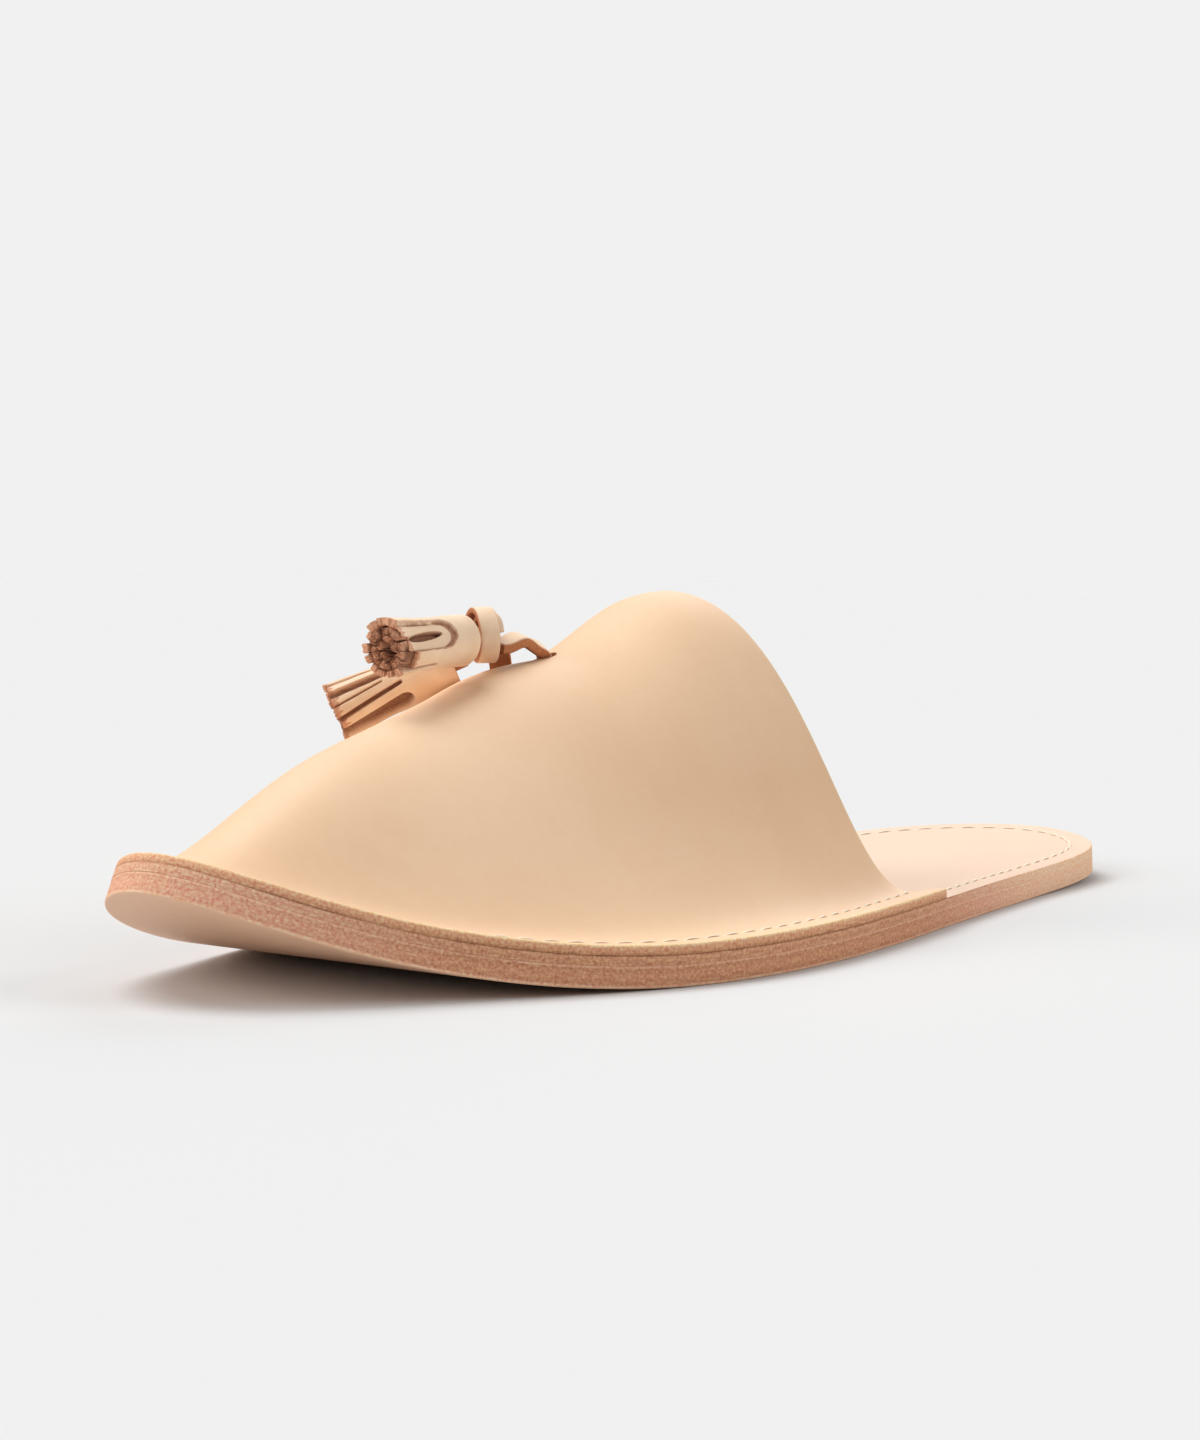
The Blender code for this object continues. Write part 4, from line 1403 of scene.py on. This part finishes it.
    def skin(self, front: Array) -> Skin:
        """Return the tassel's mesh: rows of the neck, the rolled side and the end by places round.

        Args:
            front: Front of the knot.

        Returns:
            The closed mesh, with the values cut and deep.
        """
        angle = np.linspace(0, 2 * math.pi, self.around, endpoint=False)
        open_slots = [slot for slot in self.slots if slot.cut is not Cut.SLIT]
        open_slots.sort(key=lambda slot: slot.tip_turn)
        marks = np.radians([slot.tip_turn for slot in open_slots])
        strip = np.searchsorted(marks, angle) - 1
        rng = np.random.default_rng(self.seed + 1)
        lift = (self.lift * rng.uniform(-0.4, 1, len(marks)))[strip]
        uneven = self.uneven * rng.uniform(0, 1, len(marks))
        trim = (np.array([slot.trim for slot in open_slots]) + uneven)[strip]
        opened = np.clip(self.cuts(angle, np.full_like(angle, self.length))[0] / self.outer_layer, 0, 1)
        cut_off = trim * (1 - opened) + self.slot_end * opened
        tip = self.length - cut_off + self.fray * self.waves(angle, np.zeros_like(angle), 14, 60)
        share = np.linspace(0, 1, self.rows)[:, None]
        along = self.rim + (tip - self.rim) * share
        bend = np.clip((along - self.plain) / (self.length - self.plain), 0, 1) ** 1.4
        depth, raw, dark = self.cuts(angle, along)
        whole = np.clip(1 - depth / self.outer_layer, 0, 1)
        side = self.radius + self.flare * bend + lift * bend * whole - depth
        side = side + 0.04 * MM * self.waves(angle, along / (6 * MM), 8, 6)
        rear = np.repeat(self.rear()[:, None], self.around, axis=1)
        end_along, end_radius, shade = self.end(angle, tip, side[-1])
        axial = np.concatenate([rear[..., 0], along, end_along])
        radial = np.concatenate([rear[..., 1], side, end_radius])
        ragged = 0.955 + 0.016 * self.waves(angle, np.zeros_like(angle), 12, 40)
        fresh = np.clip(raw + smooth(0, 0.012, share - ragged), 0, 1)
        cut = np.concatenate([rear[..., 2], fresh, np.ones(shade.shape)])
        # Painted shade of the slots and of the end's grooves and core.
        deep = np.concatenate([np.zeros(rear.shape[:2]), dark, shade])
        forward = unit(np.array(self.aim))
        up = unit(np.array([0, 0, 1.0]) - forward * forward[2])
        lateral = np.cross(up, forward)
        ring = np.cos(angle)[:, None] * up + np.sin(angle)[:, None] * lateral
        head = front + np.array(self.head)
        points = head + axial[..., None] * forward + radial[..., None] * ring
        faces = grid_quads(len(points), self.around, wrap=True)
        return Skin(self.name, points.reshape(-1, 3), faces, values={"cut": cut, "deep": deep})


@dataclass
class Studio:
    """Pale floor, soft light from above and the camera, at the photograph's angle to the shoe."""

    last: Last
    turn: float = 51.5
    elevation: float = 7.8
    distance: float = 0.8
    looked_at: float = 140 * MM
    lens: float = 118.0
    aim_right: float = -12 * MM
    aim_up: float = 42 * MM
    white: float = 0.88
    lamps: tuple[Lamp, ...] = (
        Lamp("key", 64, -116, 2.0),
        Lamp("left", 30, -70, 1.2),
        Lamp("right", 30, 80, 1.0),
        Lamp("rear", 30, 165, 0.6),
    )
    lamp_width: float = 40.0
    sky: float = 0.2
    floor_albedo: float = 0.72
    floor_half: float = 1.2
    floor_fade: tuple[float, float] = (0.45, 1.1)

    def directions(self) -> tuple[Vector, Vector, Vector]:
        """Return the directions to the camera, to the image's right and up the image."""
        turn, rise = math.radians(self.turn), math.radians(self.elevation)
        back = Vector((-math.cos(turn) * math.cos(rise), math.sin(turn) * math.cos(rise), math.sin(rise)))
        right = Vector((-math.sin(turn), -math.cos(turn), 0))
        return back, right, back.cross(right)

    def camera(self) -> bpy.types.Object:
        """Return the camera, aimed a little over the shoe so that the shoe fills the width."""
        back, right, up = self.directions()
        target = Vector((0, self.looked_at, 0)) - Vector(self.last.centre)
        data = bpy.data.cameras.new("camera")
        data.sensor_fit = "HORIZONTAL"
        data.sensor_width = 36
        data.lens = self.lens
        camera = linked("camera", data)
        camera.location = target + self.distance * back
        aim = target + self.aim_right * right + self.aim_up * up
        camera.rotation_euler = (camera.location - aim).to_track_quat("Z", "Y").to_euler()
        bpy.context.scene.camera = camera
        return camera

    def lights(self) -> None:
        """Add the broad lamps and an even dim sky, which the camera sees as a flat pale backdrop."""
        back, right, _ = self.directions()
        front, up = Vector((back.x, back.y, 0)).normalized(), Vector((0, 0, 1))
        for row in self.lamps:
            rise, turn = math.radians(row.rise), math.radians(row.turn)
            level = math.cos(turn) * front + math.sin(turn) * right
            data = bpy.data.lights.new(row.name, "SUN")
            data.energy = row.strength
            data.angle = math.radians(self.lamp_width)
            lamp = linked(row.name, data)
            source = math.sin(rise) * up + math.cos(rise) * level
            lamp.rotation_euler = source.to_track_quat("Z", "Y").to_euler()
        world = bpy.data.worlds.new("studio")
        world.use_nodes = True
        bpy.context.scene.world = world
        tree = world.node_tree
        sky = tree.nodes["Background"]
        sky.inputs["Color"].default_value = (1, 1, 1, 1)
        sky.inputs["Strength"].default_value = self.sky
        shown = tree.nodes.new("ShaderNodeBackground")
        shown.inputs["Color"].default_value = (1, 1, 1, 1)
        shown.inputs["Strength"].default_value = self.white
        seen = tree.nodes.new("ShaderNodeLightPath")
        mix = tree.nodes.new("ShaderNodeMixShader")
        tree.links.new(seen.outputs["Is Camera Ray"], mix.inputs[0])
        tree.links.new(sky.outputs[0], mix.inputs[1])
        tree.links.new(shown.outputs[0], mix.inputs[2])
        tree.links.new(mix.outputs[0], tree.nodes["World Output"].inputs["Surface"])
        bpy.context.scene.view_settings.view_transform = "Standard"

    def floor(self) -> bpy.types.Object:
        """Return the pale floor, which fades into the backdrop away from the shoe."""
        graph = Graph("pale_floor")
        graph.shade(base_color=(self.floor_albedo,) * 3 + (1,), roughness=0.9, specular_ior_level=0.0)
        away = graph.node("ShaderNodeVectorMath", vector=graph.place())
        away.operation = "LENGTH"
        graph.shade(alpha=graph.step(away.outputs["Value"], *self.floor_fade, 1.0, 0.0))
        half = self.floor_half
        corners = [(-half, -half, 0), (half, -half, 0), (half, half, 0), (-half, half, 0)]
        mesh = bpy.data.meshes.new("floor")
        mesh.from_pydata(corners, [], [(0, 1, 2, 3)])
        mesh.materials.append(graph.material)
        floor = linked("floor", mesh)
        return floor


GRAIN = GrainLeather("upper_grain", (251, 216, 180), (246, 206, 167))
INSOLE_GRAIN = GrainLeather("insole_grain", (240, 209, 183), (236, 202, 175), 0.55)
UNDERSIDE = GrainLeather("sole_underside", (236, 194, 162), (226, 180, 147), 0.55)
INSIDE = FleshLeather("upper_inside", (214, 172, 132), (178, 132, 94))
OUTSOLE_EDGE = EdgeLeather(
    "outsole_edge",
    4.15 * MM,
    (
        (0.0, (249, 225, 201)),
        (0.1, (241, 203, 174)),
        (0.19, (212, 161, 125)),
        (0.55, (220, 171, 135)),
        (0.86, (208, 157, 120)),
        (0.94, (227, 187, 155)),
        (1.0, (231, 193, 161)),
    ),
    (250, 217, 194),
)
INSOLE_EDGE = EdgeLeather(
    "insole_edge",
    1.9 * MM,
    (
        (0.0, (218, 174, 138)),
        (0.3, (210, 161, 125)),
        (0.8, (220, 176, 140)),
        (1.0, (187, 136, 100)),
    ),
    (250, 222, 198),
)
# Tones across the upper's cut edge, from its underside to its top; the palest cream at the top is a painted
# highlight on the rounded top corner.
UPPER_EDGE = EdgeLeather(
    "upper_edge",
    1.95 * MM,
    (
        (0.0, (191, 140, 102)),
        (0.25, (216, 170, 131)),
        (0.7, (231, 189, 151)),
        (1.0, (249, 227, 191)),
    ),
    (249, 214, 180),
)
STRIP = StripLeather(
    "strip_leather", (252, 224, 192), (244, 208, 172), (206, 138, 94), (170, 106, 68), (110, 64, 42)
)
FRINGE = StripLeather(
    "fringe_leather", (252, 222, 190), (242, 206, 170), (238, 188, 154), (196, 132, 98), (80, 40, 26)
)
THREAD = WaxedThread("cream_thread", (255, 244, 224), (240, 216, 184))

OUTSOLE = SoleLayer(
    "outsole_leather",
    "outsole",
    base=0.0,
    thick=4.15 * MM,
    low_corner=0.45 * MM,
    high_corner=0.12 * MM,
    seam_inset=4.9 * MM,
    seam_depth=0.0,
    wobble=0.06 * MM,
)
INSOLE = SoleLayer(
    "insole_leather",
    "insole",
    base=4.15 * MM,
    thick=1.9 * MM,
    low_corner=0.1 * MM,
    high_corner=0.2 * MM,
    seam_inset=4.9 * MM,
    seam_depth=0.12 * MM,
    wobble=0.05 * MM,
)
# Middle of the wound band and front of the knot, both from the middle of the knot's box
KNOT_SHIFT = np.array([-0.7, -0.55, -0.3]) * MM
KNOT_FRONT = np.array([0.0, 2.7, 0.0]) * MM
TASSEL_A_SLOTS = (
    Slot(60, 6.3 * MM, 6.6 * MM, 0.8 * MM, Cut.WINDOW, trim=3.4 * MM),
    Slot(59, 1.9 * MM, 10.2 * MM, 2.2 * MM, Cut.SLIT, lean=12, stop=21 * MM),
    Slot(28, 0.5 * MM, 12 * MM, 1.8 * MM, Cut.SLIT, stop=21.5 * MM),
    Slot(136, 0.6 * MM, 12 * MM, 1.2 * MM, lean=3),
    Slot(163, 0.4 * MM, 11 * MM, 1.1 * MM, lean=-3),
    Slot(181, 0.9 * MM, 9.5 * MM, 1.3 * MM),
    Slot(207, 0.35 * MM, 10 * MM, 1.2 * MM, lean=2),
    Slot(231, 0.7 * MM, 9 * MM, 1.3 * MM),
    Slot(259, 0.35 * MM, 9.5 * MM, 1.1 * MM, lean=-4),
    Slot(283, 0.8 * MM, 10 * MM, 1.3 * MM),
    Slot(304, 0.35 * MM, 10 * MM, 1.2 * MM, lean=3),
    Slot(337, 0.6 * MM, 9.5 * MM, 1.3 * MM),
)
TASSEL_B_SLOTS = (
    Slot(16, 0.45 * MM, 10 * MM, 1.2 * MM, lean=2),
    Slot(43, 1.6 * MM, 10.5 * MM, 1.3 * MM, lean=5),
    Slot(62, 0.3 * MM, 14 * MM, 0.7 * MM, lean=15),
    Slot(80, 0.8 * MM, 10.5 * MM, 1.3 * MM, lean=26),
    Slot(128, 4.0 * MM, 9.5 * MM, 1.7 * MM, lean=24),
    Slot(205, 0.9 * MM, 10 * MM, 1.3 * MM),
    Slot(242, 1.3 * MM, 9.5 * MM, 1.3 * MM),
    Slot(280, 0.8 * MM, 10 * MM, 1.3 * MM),
    Slot(322, 1.1 * MM, 9.5 * MM, 1.3 * MM),
)
TASSELS = (
    Tassel(
        "tassel_a_fringe",
        "tassel_a",
        head=(-2.0 * MM, 5.3 * MM, -0.5 * MM),
        aim=(-0.05, 1.0, -0.02),
        slots=TASSEL_A_SLOTS,
        length=23 * MM,
        neck=5.9 * MM,
        seed=11,
    ),
    Tassel(
        "tassel_b_fringe",
        "tassel_b",
        head=(7.0 * MM, -2.3 * MM, -5.5 * MM),
        aim=(0.66, 0.63, -0.39),
        slots=TASSEL_B_SLOTS,
        length=25.2 * MM,
        neck=2.6 * MM,
        seed=23,
    ),
)


def dress(piece: bpy.types.Object, slot: str, *nodes: str) -> bpy.types.Object:
    """Let a piece ride with the shoe and stand for its solids.

    Args:
        piece: The finished piece.
        slot: Not used.
        nodes: Solids that the piece stands for.

    Returns:
        The same piece.
    """
    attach(piece, "root")
    if nodes:
        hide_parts(*nodes)
    LOG.info("%s: %d faces", piece.name, len(piece.data.polygons))
    return piece


def main() -> None:
    """Build the slipper from the sole up, then the floor, the light and the camera."""
    logging.basicConfig(level=logging.INFO, format="%(name)s: %(message)s")
    last = Last()
    studio = Studio(last)
    studio.camera()
    low, high = (np.array(corner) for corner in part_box("lace_knot"))
    knot = (low + high) / 2 + last.centre
    edge = UPPER_EDGE.material()
    inside = INSIDE.material()
    strip = STRIP.material()
    fringe = FRINGE.material()

    upper = Upper(last, base=INSOLE.base + INSOLE.thick, thick=UPPER_EDGE.height)
    lace_skin, lace_path = Lace(upper, knot).skin()
    lace = dress(lace_skin.to_object([strip], last.centre), "lace", "lace")
    wound = Knot(knot + KNOT_SHIFT).skin().to_object([strip], last.centre)
    wrap = dress(wound, "lace", "lace_knot")
    for tassel in TASSELS:
        rolled = tassel.skin(knot + KNOT_FRONT).to_object([fringe], last.centre)
        dress(rolled, "tassel", tassel.node)
    exit_point = upper.over_with_normal(upper.hole_x[0], upper.hole_station)[0] - last.centre
    round(float(reach_along(lace_path)[-1]), 4)
    (lace_path - last.centre).tolist()

    sides = [INSOLE_GRAIN.material(), UNDERSIDE.material(), OUTSOLE_EDGE.material()]
    dress(OUTSOLE.skin(last).to_object(sides, last.centre), "outsole", OUTSOLE.node)
    sides = [INSOLE_GRAIN.material(), inside, INSOLE_EDGE.material()]
    dress(INSOLE.skin(last).to_object(sides, last.centre), "insole", INSOLE.node)
    vamp = upper.skin().to_object([GRAIN.material(), inside, edge], last.centre)
    upper.punch(vamp, edge)
    dress(vamp, "upper", "upper")
    stitches = Seam(last, upper, INSOLE.base + INSOLE.thick).skin()
    dress(stitches.to_object([THREAD.material()], last.centre), "insole")

    studio.lights()
    studio.floor()


if __name__ == "__main__":
    main()
